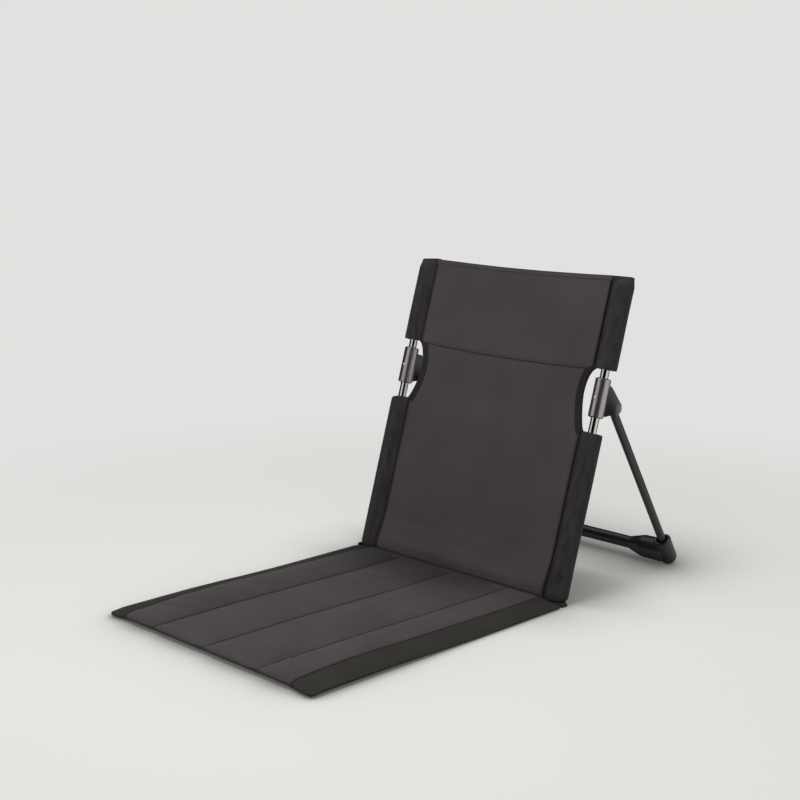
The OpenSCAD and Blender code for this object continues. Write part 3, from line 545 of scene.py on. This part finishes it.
def seatPoint(x, y):
    near, fromFront, fromSide = toSeam(x), y - seat["front"], seat["half"] - abs(x)
    inside = ease(2, 22, fromFront) * ease(0, 20, fromSide)
    z = seatTop(x, y)
    across, along = seat["puckerSize"]
    pucker = seat["pucker"] * ease(0, 3, near) * exp(-near / seat["puckerReach"])
    z += inside * pucker * ripple(x / across, y / along, 3)
    waves = sum(ripple(x / across, y / along, seed) for across, along, seed in seat["quiltSizes"])
    z += inside * seat["quilt"] * ease(0, 16, near) * waves
    for atX, atY, wide, long, high, slant, pitch in seat["pulls"]:
        patch = exp(-((x - atX) / wide) ** 2 - ((y - atY) / long) ** 2)
        z += high * patch * sin((y + slant * x) / pitch) * ease(0, 10, near)
    wander = seat["wander"] * ripple(y / seat["wanderPitch"], 5) * bell(x - seat["seams"][0], seat["wanderWide"])
    wander *= ease(0, 60, fromFront)
    # the seams draw the front edge in, and the front corners are turned round
    pull = seat["scallop"] * bell(near, seat["scallopWide"]) * (1 - ease(0, seat["scallopDeep"], fromFront))
    turn = rounding(seat["cornerRound"], seat["cornerRound"] - fromSide)
    pull = max(pull, turn * (1 - ease(0, seat["cornerDeep"], fromFront)))
    return Vector((x + wander, y + pull, max(z, seat["lowest"]))) * mm


def underside(x, y):
    inset = min(seat["half"] - abs(x), y - seat["front"])
    rise = 1 - roll(inset / seat["underRoll"])
    pull = seatPoint(x, y).y if inset < 1 else y * mm
    return Vector((x, pull / mm, max(0.0, (rimHeight(x, y) - seat["rim"]) * rise))) * mm


# the top of the seat and its underside are one closed skin, rows from front to rear and back again
topRows = [[seatPoint(x, y) for x in seatXs] for y in seatYs]
lowRows = [[underside(x, y) for x in seatXs] for y in seatYs]
wide, deep = len(seatXs), len(seatYs)
cushion = clothMesh("seatCushion", topRows + list(reversed(lowRows)))
build = bmesh.new()
build.from_mesh(cushion.data)
build.verts.ensure_lookup_table()
for j in range(deep - 1):
    for column in (0, wide - 1):
        upper = [j * wide + column, (j + 1) * wide + column]
        lower = [(2 * deep - 2 - j) * wide + column, (2 * deep - 1 - j) * wide + column]
        build.faces.new([build.verts[k] for k in upper + lower])
for i in range(wide - 1):
    last = (2 * deep - 1) * wide + i
    build.faces.new([build.verts[k] for k in (i, i + 1, last + 1, last)])
bmesh.ops.recalc_face_normals(build, faces=build.faces)
build.to_mesh(cushion.data)
build.free()


# lets the padded skin settle under light pressure while the held points stay
def settle(piece, free, sim):
    began = [vertex.co.copy() for vertex in piece.data.vertices]
    group = piece.vertex_groups.new(name="sewn")
    group.add([k for k in range(len(began)) if k not in free], 1.0, "REPLACE")
    cloth = piece.modifiers.new("settle", "CLOTH")
    cloth.settings.vertex_group_mass = group.name
    cloth.settings.use_pressure = True
    cloth.settings.uniform_pressure_force = sim["pressure"]
    cloth.settings.effector_weights.gravity = 0
    cloth.settings.quality = sim["quality"]
    for frameNumber in range(1, sim["frames"] + 1):
        scene.frame_set(frameNumber)
    onlySelect(piece)
    bpy.ops.object.modifier_apply(modifier=cloth.name)
    scene.frame_set(1)
    largest, cap = 0.0, sim["cap"] * mm
    for vertex, start in zip(piece.data.vertices, began):
        moved = vertex.co - start
        largest = max(largest, moved.length)
        if moved.length > cap:
            vertex.co = start + moved.normalized() * cap
    piece.vertex_groups.clear()
    print("settled", piece.name, "by up to", round(largest / mm, 2), "mm")


sim = seat["simulation"]
loose = set()
for j in range(sim["heldRows"], deep):
    if seatYs[j] > seat["rear"] - sim["heldRear"]:
        break
    for i in range(sim["heldColumns"], wide - sim["heldColumns"]):
        if toSeam(seatXs[i]) > sim["heldSeam"]:
            loose.add(j * wide + i)
settle(cushion, loose, sim)

# painted shade: dark seam lines, the shadow in the fold, and the darker underside
shade = cushion.data.attributes["seamShade"]
for k in range(wide * deep):
    x, y = seatXs[k % wide], seatYs[k // wide]
    atFold = seat["foldShade"] * inShade(x) * (1 - ease(0, seat["foldReach"], seat["rear"] - y))
    shade.data[k].value = max(seamLine(x), atFold)
for k in range(wide * deep, 2 * wide * deep):
    shade.data[k].value = seat["rimShade"]
applyModifier(cushion, "SUBSURF", {"levels": 1, "render_levels": 1})
dress(cushion, seatPolyester, "seat", 50)
# the side bands and the underside take the band cloth, whose darkness is partly painted shade
cushion.data.materials.append(bandPolyester)
for face in cushion.data.polygons:
    if abs(face.center.x) > seat["bandFrom"] * mm or face.normal.z < -0.5:
        face.material_index = 1
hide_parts("seat_underside", "seat_pad_far_left", "seat_pad_left", "seat_pad_right",
            "seat_pad_far_right", "left_seat_band", "right_seat_band", "front_hem", "rear_hem")


print("back cloth")
cutout = {
    # the free edge's deepest point, and how far it reaches up, down and in from the outer side
    "deepest": 303.0, "up": 41.0, "down": 52.0, "outer": 180.0, "depth": 16.0,
    # the tape that binds it: where it lies, between which angles of the edge, and the panel's share under it
    "wide": 12.6, "thick": 4.6, "rearward": -6.6, "dip": 0.25, "shake": 0.3, "from": -76, "to": 82, "steps": 60,
    "lap": 0.45,
}
back = {
    "halfWidth": 173.9, "height": 479.0, "bottom": 7.4, "seamUp": 345.0, "front": -8.0, "thick": 2.2,
    # above the fold the cloth runs back to the middle of the sleeves
    "setBack": 5.0, "setFrom": 12.0, "setTo": 75.0,
    "belly": 4.0, "columns": 84, "lowRows": 92, "headRows": 34,
    "notchMid": 290.0, "notchSag": 2.0, "notchReach": 60.0,
    "bulge": 3.2, "bulgeMid": 17.0, "bulgeHalf": 15.0, "wrinkle": 2.2, "wrinkleTop": 120,
    # the cloth hangs a little between the poles along its top hem and along the cross seam
    "topSag": 2.3, "topTilt": 2.6, "tiltFrom": 395.0, "seamSag": 4.4, "sagReach": 45.0,
    # the head panel laps over the back panel: rows and painted shade lines near the cross seam, above it or below
    "lap": 6.0, "lowerRows": (-4.5, -3.2, -2.4, -1.8, -1.2, -0.6, 3.0), "lowerLine": -1.8,
    "upperRows": (-1.0, -0.4, 0.2, 1.0, 2.0, 3.4), "upperLine": -1.0, "headProud": 0.9, "headThick": 2.8,
    "hemRoom": 3.0, "crossLine": (0.65, 0.8), "edgeLine": 2.4,
}


# the free edge of a cut-out: how far out it lies at a height, deepest above the middle of the hub
def cutoutEdge(z):
    h = (z - cutout["deepest"]) / (cutout["up"] if z > cutout["deepest"] else cutout["down"])
    if abs(h) >= 1:
        return cutout["outer"]
    share = (1 - h * h) ** 0.5 if h > 0 else (1 - abs(h) ** 1.3) ** 0.65
    return cutout["outer"] - cutout["depth"] * share


def halfWidth(z):
    return min(back["halfWidth"], cutoutEdge(z) - cutout["wide"] * cutout["lap"])


# the cloth between the cut-outs sags to the rear, because its edges are free there
def slack(z):
    h = (z - back["notchMid"]) / back["notchReach"]
    return back["notchSag"] * cos(pi / 2 * h) ** 2 if abs(h) < 1 else 0.0


def setBack(z):
    return back["setBack"] * ease(back["setFrom"], back["setTo"], z)


def panelDepth(u, z):
    middle = 1 - (2 * u - 1) ** 2
    up = z / back["height"]
    wave = sin(pi * up) + 0.2 * sin(2 * pi * up) * cos(3 * pi * u)
    sag = back["belly"] * middle * wave
    low = 1 - ease(10, back["wrinkleTop"], z)
    soft = ease(0, 0.12, u) * ease(0, 0.12, 1 - u)
    wrinkle = soft * (0.6 * ripple(u * 3.2, z / 60, 4)
                      + low * back["wrinkle"] * (1.15 - u) * ripple(u * 3.4 + z / 70, z / 13, 9))
    bulge = back["bulge"] * bell(z - back["bulgeMid"], back["bulgeHalf"]) * ease(0, 0.08, middle)
    return back["front"] + setBack(z) + sag + slack(z) + wrinkle - bulge * (1 + 0.5 * ripple(u * 5, 6))


# how far the cloth's cross lines hang below a straight line, and tilt with the right sleeve's higher top
def crossSag(u, z):
    middle = 1 - (2 * u - 1) ** 2
    seam = back["seamSag"] * middle ** 0.8 * bell(z - back["seamUp"], back["sagReach"])
    top = back["topSag"] * sin(pi * u) - back["topTilt"] * u * u
    return seam + top * ease(back["tiltFrom"], back["height"], z)


# shares of the width, with close columns along the sewn edges
panelShares = [0, 0.0035, 0.0075] + evenly(0.012, 0.988, back["columns"]) + [0.9925, 0.9965, 1]


def panelPoint(u, z, proud=0.0):
    return onBack(halfWidth(z) * (2 * u - 1), panelDepth(u, z) - proud, z - crossSag(u, z))


def panelRows(steps, proud=0.0):
    return [[panelPoint(u, z, proud) for u in panelShares] for z in steps]


# dark with dust and painted shadow along the sewn edges, and along the cross seam where it has one
def sheetPiece(name, rows, steps, thick, seamAt):
    seam = []
    tone, reach = back["crossLine"]
    for row, z in zip(rows, steps):
        for p in row:
            edge = min(abs(p.x - row[0].x), abs(p.x - row[-1].x)) / mm
            seam.append(max(tone * bell(z - seamAt, reach), bell(edge, back["edgeLine"])))
    piece = clothMesh(name, rows, seam=seam)
    # faces look forwards, so the thickness grows to the rear
    if piece.data.polygons[0].normal.y > 0:
        piece.data.flip_normals()
    applyModifier(piece, "SOLIDIFY", {"thickness": thick * mm, "offset": -1.0})
    return piece


seamUp = back["seamUp"]
steps = evenly(back["bottom"], seamUp - back["lap"], back["lowRows"]) + [seamUp + d for d in back["lowerRows"]]
backSheet = sheetPiece("backSheet", panelRows(steps), steps, back["thick"], seamUp + back["lowerLine"])
dress(backSheet, backPolyester, "back_frame")
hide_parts("back_panel")
steps = [seamUp + d for d in back["upperRows"]]
steps += evenly(seamUp + back["lap"], back["height"] - back["hemRoom"], back["headRows"])
headSheet = sheetPiece("headSheet", panelRows(steps, back["headProud"]), steps, back["headThick"],
                       seamUp + back["upperLine"])
dress(headSheet, backPolyester, "back_frame")
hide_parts("head_panel")


print("sleeves")
sleeve = {
    "middle": 192.75, "halfWide": 18.75, "halfDeep": 11.0, "pole": 194.0, "sides": 56,
    "square": 0.74, "wall": 1.3, "fold": 0.075, "flat": 0.2, "sewnForward": 6.4, "closed": 2.4,
    "ridges": 0.07,
    # from, to, rows, and the seed of its creases
    "low": (4.0, 252.0, 82, 3.1), "high": (345.0, 479.0, 48, 8.4),
    # the top is drawn together over this length, and its outer corner is rounded
    "closing": 16.0, "topInset": 1.2, "topRound": 5.0, "topLift": {-1: (1.0, -1.6), 1: (2.4, 3.0)},
    # the inner edge runs on behind the panel as a seam allowance; the bottom rises towards its outer end
    "allowance": 3.2, "bottomRise": 4.0, "bottomReach": 60.0,
    # the lower sleeve's mouth is rounded at its outer end too
    "mouthRound": {-1: 6.0, 1: 2.0}, "mouthReach": 20.0,
    # the tube inside holds the cloth at least this far from its axis
    "clear": 7.9,
    # painted shade along the sewn edge and the outer fold, and close to the floor: how dark and how far
    "shades": {"seam": (0.95, 4.0), "fold": (0.3, 2.5), "floor": (0.7, 11.0)},
}


# outline of the sleeve, across and in depth: flat where it is sewn to the panel, full round the pole
def sleeveOutline(z, shrink=0.0, topClose=0.0, seed=0.0):
    outline = []
    for i in range(sleeve["sides"]):
        a = 2 * pi * i / sleeve["sides"]
        cx, cy = squarish(a, sleeve["square"])
        s = (cx + 1) / 2
        full = ease(0.08, 0.62, s)
        crease = ripple(1.7 * cos(a) + seed, 1.7 * sin(a), z / 90 + seed)
        fine = ripple(4.2 * cos(a) - seed, 4.2 * sin(a), z / 33)
        ridge = cos(9.5 * s + 0.8 * ripple(z / 120, seed, 3))
        deep = sleeve["halfDeep"] * (1 - sleeve["fold"] * (0.5 + crease) - 0.03 * (0.5 + fine)
                                     - sleeve["ridges"] * (1 + ridge) * full)
        deep = deep * (sleeve["flat"] + (1 - sleeve["flat"]) * full)
        deep = deep * (1 - topClose) + min(deep, sleeve["closed"]) * topClose
        wide = sleeve["halfWide"] * (1 - 0.02 * (0.5 + crease)) - shrink
        sewn = sleeve["sewnForward"] - setBack(z)
        forward = sewn * (1 - ease(0.05, 0.8, s) * (1 - 0.35 * topClose))
        behind = 1 - ease(0.0, 0.09, s)
        deep = max(0.5, deep - shrink) * (1 - 0.55 * behind)
        x = sleeve["middle"] + wide * cx - sleeve["allowance"] * behind
        y = deep * cy - forward + 1.2 * behind
        clear = ((sleeve["clear"] - shrink) * (1 - topClose)) ** 2 - (x - sleeve["pole"]) ** 2
        if clear > 0:
            y = max(y, sqrt(clear)) if cy > 0 else min(y, -sqrt(clear))
        outline.append((x, y))
    return outline


# the lower sleeve's bottom follows the floor, which the leaning outline meets at a slant
def sleeveRing(z, side, shrink=0.0, topClose=0.0, seed=0.0):
    ring = []
    mouth, top = sleeve["low"][1], sleeve["high"][1]
    for x, y in sleeveOutline(z, shrink, topClose, seed):
        share = min(1.0, max(0.0, (x - sleeve["middle"]) / sleeve["halfWide"] / 2 + 0.5))
        low = 1 - ease(0, sleeve["bottomReach"], z - sleeve["low"][0])
        shift = (y * tan(lean) + sleeve["bottomRise"] * share) * low
        corner = rounding(sleeve["topRound"], x - (sleeve["middle"] + sleeve["halfWide"] - sleeve["topRound"]))
        shift -= corner * ease(top - 2.5 * sleeve["topRound"], top, z)
        if z <= mouth:
            shift -= sleeve["mouthRound"][side] * share ** 3 * ease(mouth - sleeve["mouthReach"], mouth, z)
        atSeam, atEnd = sleeve["topLift"][side]
        shift += (atSeam + (atEnd - atSeam) * share) * ease(back["tiltFrom"], top, z)
        ring.append(onBack(side * x, y, z + shift))
    return ring


def sleevePiece(name, side, low, high, rows, seed, closeTop):
    heights, wall = evenly(low, high, rows), sleeve["wall"]

    def ring(z, shrink):
        closing = ease(high - sleeve["closing"], high - 1, z) if closeTop else 0.0
        return sleeveRing(z, side, shrink, closing, seed + side)

    # down the outside, round the lower edge and up the inside
    outside = [ring(z, 0) for z in reversed(heights[1:])]
    turned = [ring(low, wall / 2)] + [ring(z, wall) for z in heights]
    if closeTop:
        rings = [ring(high, sleeve["topInset"])] + outside + turned[:-2]
    else:
        lip = ring(high, wall / 2)
        rings = [lip] + outside[1:] + turned + [lip]
    piece = clothMesh(name, rings, wrap=True, closed=closeTop)
    if not closeTop:
        editMesh(piece, bpy.ops.mesh.remove_doubles, threshold=0.01 * mm)
    # painted shade along the sewn edge, the outer fold and near the floor
    shade = piece.data.attributes["seamShade"]
    for k, vertex in enumerate(piece.data.vertices):
        x = abs(vertex.co.x) / mm - sleeve["middle"]
        away = {"seam": max(0.0, sleeve["halfWide"] + x), "fold": sleeve["halfWide"] - x, "floor": vertex.co.z / mm}
        shade.data[k].value = max(tone * bell(away[key], far) for key, (tone, far) in sleeve["shades"].items())
    outwards(piece)
    dress(piece, sleevePolyester, "back_frame", 70)
    return piece


sleeves = []
for side, word in sides:
    lower = sleevePiece(word + "LowerSleeve", side, *sleeve["low"], False)
    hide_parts(word + "_lower_sleeve")
    upper = sleevePiece(word + "UpperSleeve", side, *sleeve["high"], True)
    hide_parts(word + "_upper_sleeve")
    sleeves += [lower, upper]


print("pockets")
pocket = {"top": 22.0, "rows": 8, "inset": 2.3, "endInset": 5.0, "lowInset": 2.9, "highInset": 2.8}


# a closed piece of cloth or tape that moves with the back
def closedPiece(name, rows, material, smoothAngle=50):
    piece = clothMesh(name, rows, wrap=True, closed=True)
    outwards(piece)
    dress(piece, material, "back_frame", smoothAngle)
    return piece


# the pocket stands on the floor, so its lowest ring follows the ground across the leaning outline
def pocketRing(share, side, inset):
    ring = []
    for x, y in sleeveOutline(pocket["top"], inset, 0.0, sleeve["low"][3] + side):
        ground = y * tan(lean)
        ring.append(onBack(side * x, y, ground + (pocket["top"] - ground) * share))
    return ring


for side, word in sides:
    levels = [(0.0, pocket["endInset"]), (0.03, pocket["lowInset"])]
    levels += [(k / pocket["rows"], pocket["inset"]) for k in range(1, pocket["rows"])]
    levels += [(1.0, pocket["highInset"]), (1.0, pocket["endInset"])]
    rings = [pocketRing(share, side, inset) for share, inset in levels]
    piece = closedPiece(word + "FootPocket", rings, tapePolyester, 60)
    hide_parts(word + "_foot_pocket")

# the seat's cloth runs on below the pockets and turns up round their outer corners
cuff = {
    "inner": 171.0, "outer": 213.8, "front": -12.8, "corner": 9.0, "turn": -1.0, "tuck": 50.0,
    "frontHeight": 5.4, "sideHeight": 6.6, "rearHeight": 2.0, "steps": 44,
    # section of the turned-up wall: distance out, share of its height, and height added
    "wall": ((0, 0, 0.3), (0.1, 0.3, 0), (0.1, 0.6, 0), (-0.05, 1, -0.8), (-0.3, 1, -0.2), (-0.75, 1, 0),
             (-1.2, 1, -0.2), (-1.45, 1, -0.8), (-1.5, 0.6, 0), (-1.5, 0.3, 0), (-1.5, 0, 0.3)),
    # the cloth below the pocket lies inside the wall and ends behind it
    "baseInset": 0.8, "baseRear": 6.5, "baseSteps": 24,
}


# place and facing along the cuff: across the front, round the corner, back, and tucked in behind
def cuffPath(s):
    turn, r = radians(cuff["tuck"]), cuff["corner"]
    across = cuff["outer"] - r - cuff["inner"]
    arc = r * pi / 2
    backward = cuff["turn"] - cuff["front"] - r
    run = s * (across + arc + backward + r * turn)
    if run < across:
        return cuff["inner"] + run, cuff["front"], 0.0
    angle = min(pi / 2, (run - across) / r)
    tucked = max(0.0, run - across - arc - backward) / r
    x = cuff["outer"] - r * (1 - sin(angle)) - r * (1 - cos(tucked))
    y = cuff["front"] + r * (1 - cos(angle)) + min(backward, max(0.0, run - across - arc))
    return x, y + r * sin(tucked), angle + tucked


for side, word in sides:
    rows = []
    for k in range(cuff["steps"] + 1):
        s = k / cuff["steps"]
        x, y, angle = cuffPath(s)
        top = cuff["frontHeight"] + (cuff["sideHeight"] - cuff["frontHeight"]) * ease(0.45, 0.75, s)
        top += (cuff["rearHeight"] - cuff["sideHeight"]) * ease(0.84, 1.0, s)
        away = Vector((side * sin(angle), -cos(angle), 0))
        rows.append([(Vector((side * x, y, share * top + add)) + away * d) * mm for d, share, add in cuff["wall"]])
    closedPiece(word + "CornerCuff", rows, bandPolyester)
    # the cloth below the pocket, between the turned-up edges
    rows = []
    r, inset, steps = cuff["corner"], cuff["baseInset"], cuff["baseSteps"]
    for k in range(steps + 1):
        x = cuff["inner"] + (cuff["outer"] - inset - cuff["inner"]) * (k / steps) ** 0.7
        turned = rounding(r, x - cuff["outer"] + r)
        front, rear = cuff["front"] + turned + inset, cuff["baseRear"] - turned
        rim = [(front, 0.3), (front, 1.1), (front * 0.5, 1.2), (rear * 0.5, 1.2),
               (rear, 1.0), (rear + 0.3, 0.6), (rear, 0.3)]
        rows.append([Vector((side * x, y, z)) * mm for y, z in rim])
    closedPiece(word + "CornerBase", rows, bandPolyester)


print("hems and bindings")
tape = {"sides": 20, "square": 0.5, "dipAt": 0.55, "dipWide": 0.18}
outOfBack = onBack(0, -1, 0).normalized()


# rows of a flat rounded tape along a path on the back: the path's points, and the way across at each
def tapeRows(path, across, wide, thick, dip):
    profile = []
    for k in range(tape["sides"]):
        cx, cy = squarish(2 * pi * k / tape["sides"], tape["square"])
        press = 1 - dip * bell(cx - tape["dipAt"], tape["dipWide"])
        profile.append((cx * wide / 2, cy * thick / 2 * press))
    return [[p + (way * u + outOfBack * v) * mm for u, v in profile] for p, way in zip(path, across)]


for side, word in sides:
    # along the free edge, and half a tape's width inwards from it
    edge = []
    for k, angle in enumerate(evenly(cutout["from"], cutout["to"], cutout["steps"])):
        h = sin(radians(angle))
        z = cutout["deepest"] + h * (cutout["up"] if h > 0 else cutout["down"])
        edge.append(Vector((cutoutEdge(z) + cutout["shake"] * ripple(k / 5, side * 3.0, 1), 0, z)))
    path, across = [], []
    for k, p in enumerate(edge):
        along = (edge[min(cutout["steps"], k + 1)] - edge[max(0, k - 1)]).normalized()
        inwards = Vector((-along.z, 0, along.x))
        middle = p + inwards * cutout["wide"] / 2
        path.append(onBack(side * middle.x, cutout["rearward"] + setBack(middle.z) + slack(middle.z), middle.z))
        across.append(onBack(side * inwards.x, 0, inwards.z).normalized())
    rows = tapeRows(path, across, cutout["wide"], cutout["thick"], cutout["dip"])
    piece = closedPiece(word + "CutoutBinding", rows, tapePolyester)
    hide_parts(word + "_cutout_binding")

hem = {"half": 174.4, "up": 475.2, "front": -6.8, "wide": 7.6, "thick": 5.6, "dip": 0.3, "shake": 0.3, "steps": 60}
path = []
for x in evenly(-hem["half"], hem["half"], hem["steps"]):
    rearwards = hem["front"] + back["setBack"] + hem["shake"] * ripple(x / 45, 2)
    sag = crossSag(x / (2 * hem["half"]) + 0.5, hem["up"])
    path.append(onBack(x, rearwards, hem["up"] - sag + hem["shake"] * ripple(x / 60, 9)))
rows = tapeRows(path, [onBack(0, 0, 1).normalized()] * len(path), hem["wide"], hem["thick"], hem["dip"])
piece = closedPiece("topHem", rows, backPolyester)
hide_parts("top_hem")


# real ones are about 3 mm long, of 0.4 mm thread, sunk in at both ends; these are a little thicker to show
stitch = {
    "pitch": 3.4, "long": 2.5, "radius": 0.32, "sides": 5,
    # rings of one stitch: place along it, and thickness and height in radii
    "rings": ((-0.5, 0.35, -0.25), (-0.25, 0.9, 0.1), (0.25, 0.9, 0.1), (0.5, 0.35, -0.25)),
    # lines across the back: height, and the shares of the width from and to
    "across": ((347.2, 0.03, 0.97), (471.9, 0.01, 0.99)), "proud": 1.0,
    # lines up the back's edges, and along the seat's seams: from, to, how far aside and how far proud
    "edges": (12, 242, 3.2, 0.1), "seat": (-474, -34, 1.3, 0.1),
}


# one mesh of single stitches laid along rows of (point, outward direction)
def stitching(name, lines):
    vertices, faces = [], []
    n, last = stitch["sides"], len(stitch["rings"]) - 1
    for line in lines:
        for (p, out), (q, _) in zip(line, line[1:]):
            along = (q - p).normalized()
            middle = (p + q) / 2
            sideways = along.cross(out).normalized()
            up = sideways.cross(along)
            first = len(vertices)
            for t, r, h in stitch["rings"]:
                for k in range(n):
                    a = 2 * pi * k / n
                    spot = sideways * cos(a) * r + up * (sin(a) * r + h)
                    vertices.append(middle + along * t * stitch["long"] * mm + spot * stitch["radius"] * mm)
            for ring in range(last):
                for k in range(n):
                    a, b = first + ring * n + k, first + ring * n + (k + 1) % n
                    faces.append((a, b, b + n, a + n))
            faces.append(tuple(first + k for k in reversed(range(n))))
            faces.append(tuple(first + last * n + k for k in range(n)))
    mesh = bpy.data.meshes.new(name)
    mesh.from_pydata(vertices, [], faces)
    piece = newObject(name, mesh)
    outwards(piece)
    return piece


lines = []
for z, low, high in stitch["across"]:
    shares = evenly(low, high, int((high - low) * 2 * back["halfWidth"] / stitch["pitch"]))
    lines.append([(panelPoint(u, z, stitch["proud"]), outOfBack) for u in shares])
low, high, aside, proud = stitch["edges"]
for side in (-1, 1):
    x = side * (back["halfWidth"] - aside)
    heights = evenly(low, high, int((high - low) / stitch["pitch"]))
    lines.append([(onBack(x, panelDepth(0.5 + side * 0.49, z) - proud, z), outOfBack) for z in heights])
piece = stitching("backStitches", lines)
dress(piece, threadPolyester, "back_frame")


print("fold between seat and back")
fold = {"half": 173.4, "cells": 70,
        "profile": ((-12.8, 0.4), (-12.9, 3.0), (-12.6, 5.6), (-11.4, 7.0), (-8, 7.3), (-3, 7.3), (2, 7.3),
                    (6, 7.2), (8.2, 6.4), (9.0, 4.6), (9.0, 2.4), (8.4, 0.4))}
places = evenly(-fold["half"], fold["half"], fold["cells"])
rows = [[Vector((x, y, z)) * mm for y, z in fold["profile"]] for x in places]
piece = closedPiece("foldStrip", rows, backPolyester)
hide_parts("fold_strip")

# the cloth that runs from the seat under the back's lower edge, shaped round the fold
gusset = {"half": 172.0, "start": -19.5, "end": -15.4, "rows": 5, "lift": 0.55, "sunk": 0.45, "thick": 0.5,
          "under": ((-14.0, 7.4), (-12.6, 7.75), (-10.5, 7.9), (-8.0, 7.95), (-5.5, 7.95)),
          # painted shade: the fold's shadow, and darker still where the cloth runs under the back
          "shade": 0.55, "underShade": 0.95}
gussetXs = [-gusset["half"]] + [x for x in seatXs if abs(x) < gusset["half"] - 0.5] + [gusset["half"]]


# height of the finished cushion under a point
def cushionTop(x, y):
    hit, place = cushion.ray_cast(Vector((x * mm, y * mm, 0.1)), Vector((0, 0, -1)))[:2]
    return place.z / mm if hit else seat["seamRear"]


rows, seam = [], []
for k, y in enumerate(evenly(gusset["start"], gusset["end"], gusset["rows"] - 1)):
    lift = gusset["lift"] * min(1.0, k / 1.5) - gusset["sunk"] * (k == 0)
    rows.append([Vector((x, y, cushionTop(x, y) + lift)) * mm for x in gussetXs])
for y, z in gusset["under"]:
    rows.append([Vector((x, y, z)) * mm for x in gussetXs])
# painted shade: dark seam lines, and the fold's shadow deepening under the back's edge
for row in rows:
    for x, p in zip(gussetXs, row):
        shade = gusset["shade"] * inShade(x)
        shade += (gusset["underShade"] - shade) * ease(-15, -11, p.y / mm)
        seam.append(max(seamLine(x), shade))
piece = clothMesh("foldGusset", rows, seam=seam)
applyModifier(piece, "SOLIDIFY", {"thickness": gusset["thick"] * mm, "offset": 0.0})
dress(piece, seatPolyester, None, 50)
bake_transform(piece)


print("seat stitches")
low, high, aside, proud = stitch["seat"]
lines = []
for x in seat["seams"]:
    x += aside if x < 0 else -aside
    ys = evenly(low, high, int((high - low) / stitch["pitch"]))
    lines.append([(Vector((x, y, cushionTop(x, y) + proud)) * mm, Vector((0, 0, 1))) for y in ys])
piece = stitching("seatStitches", lines)
dress(piece, threadPolyester, "seat")
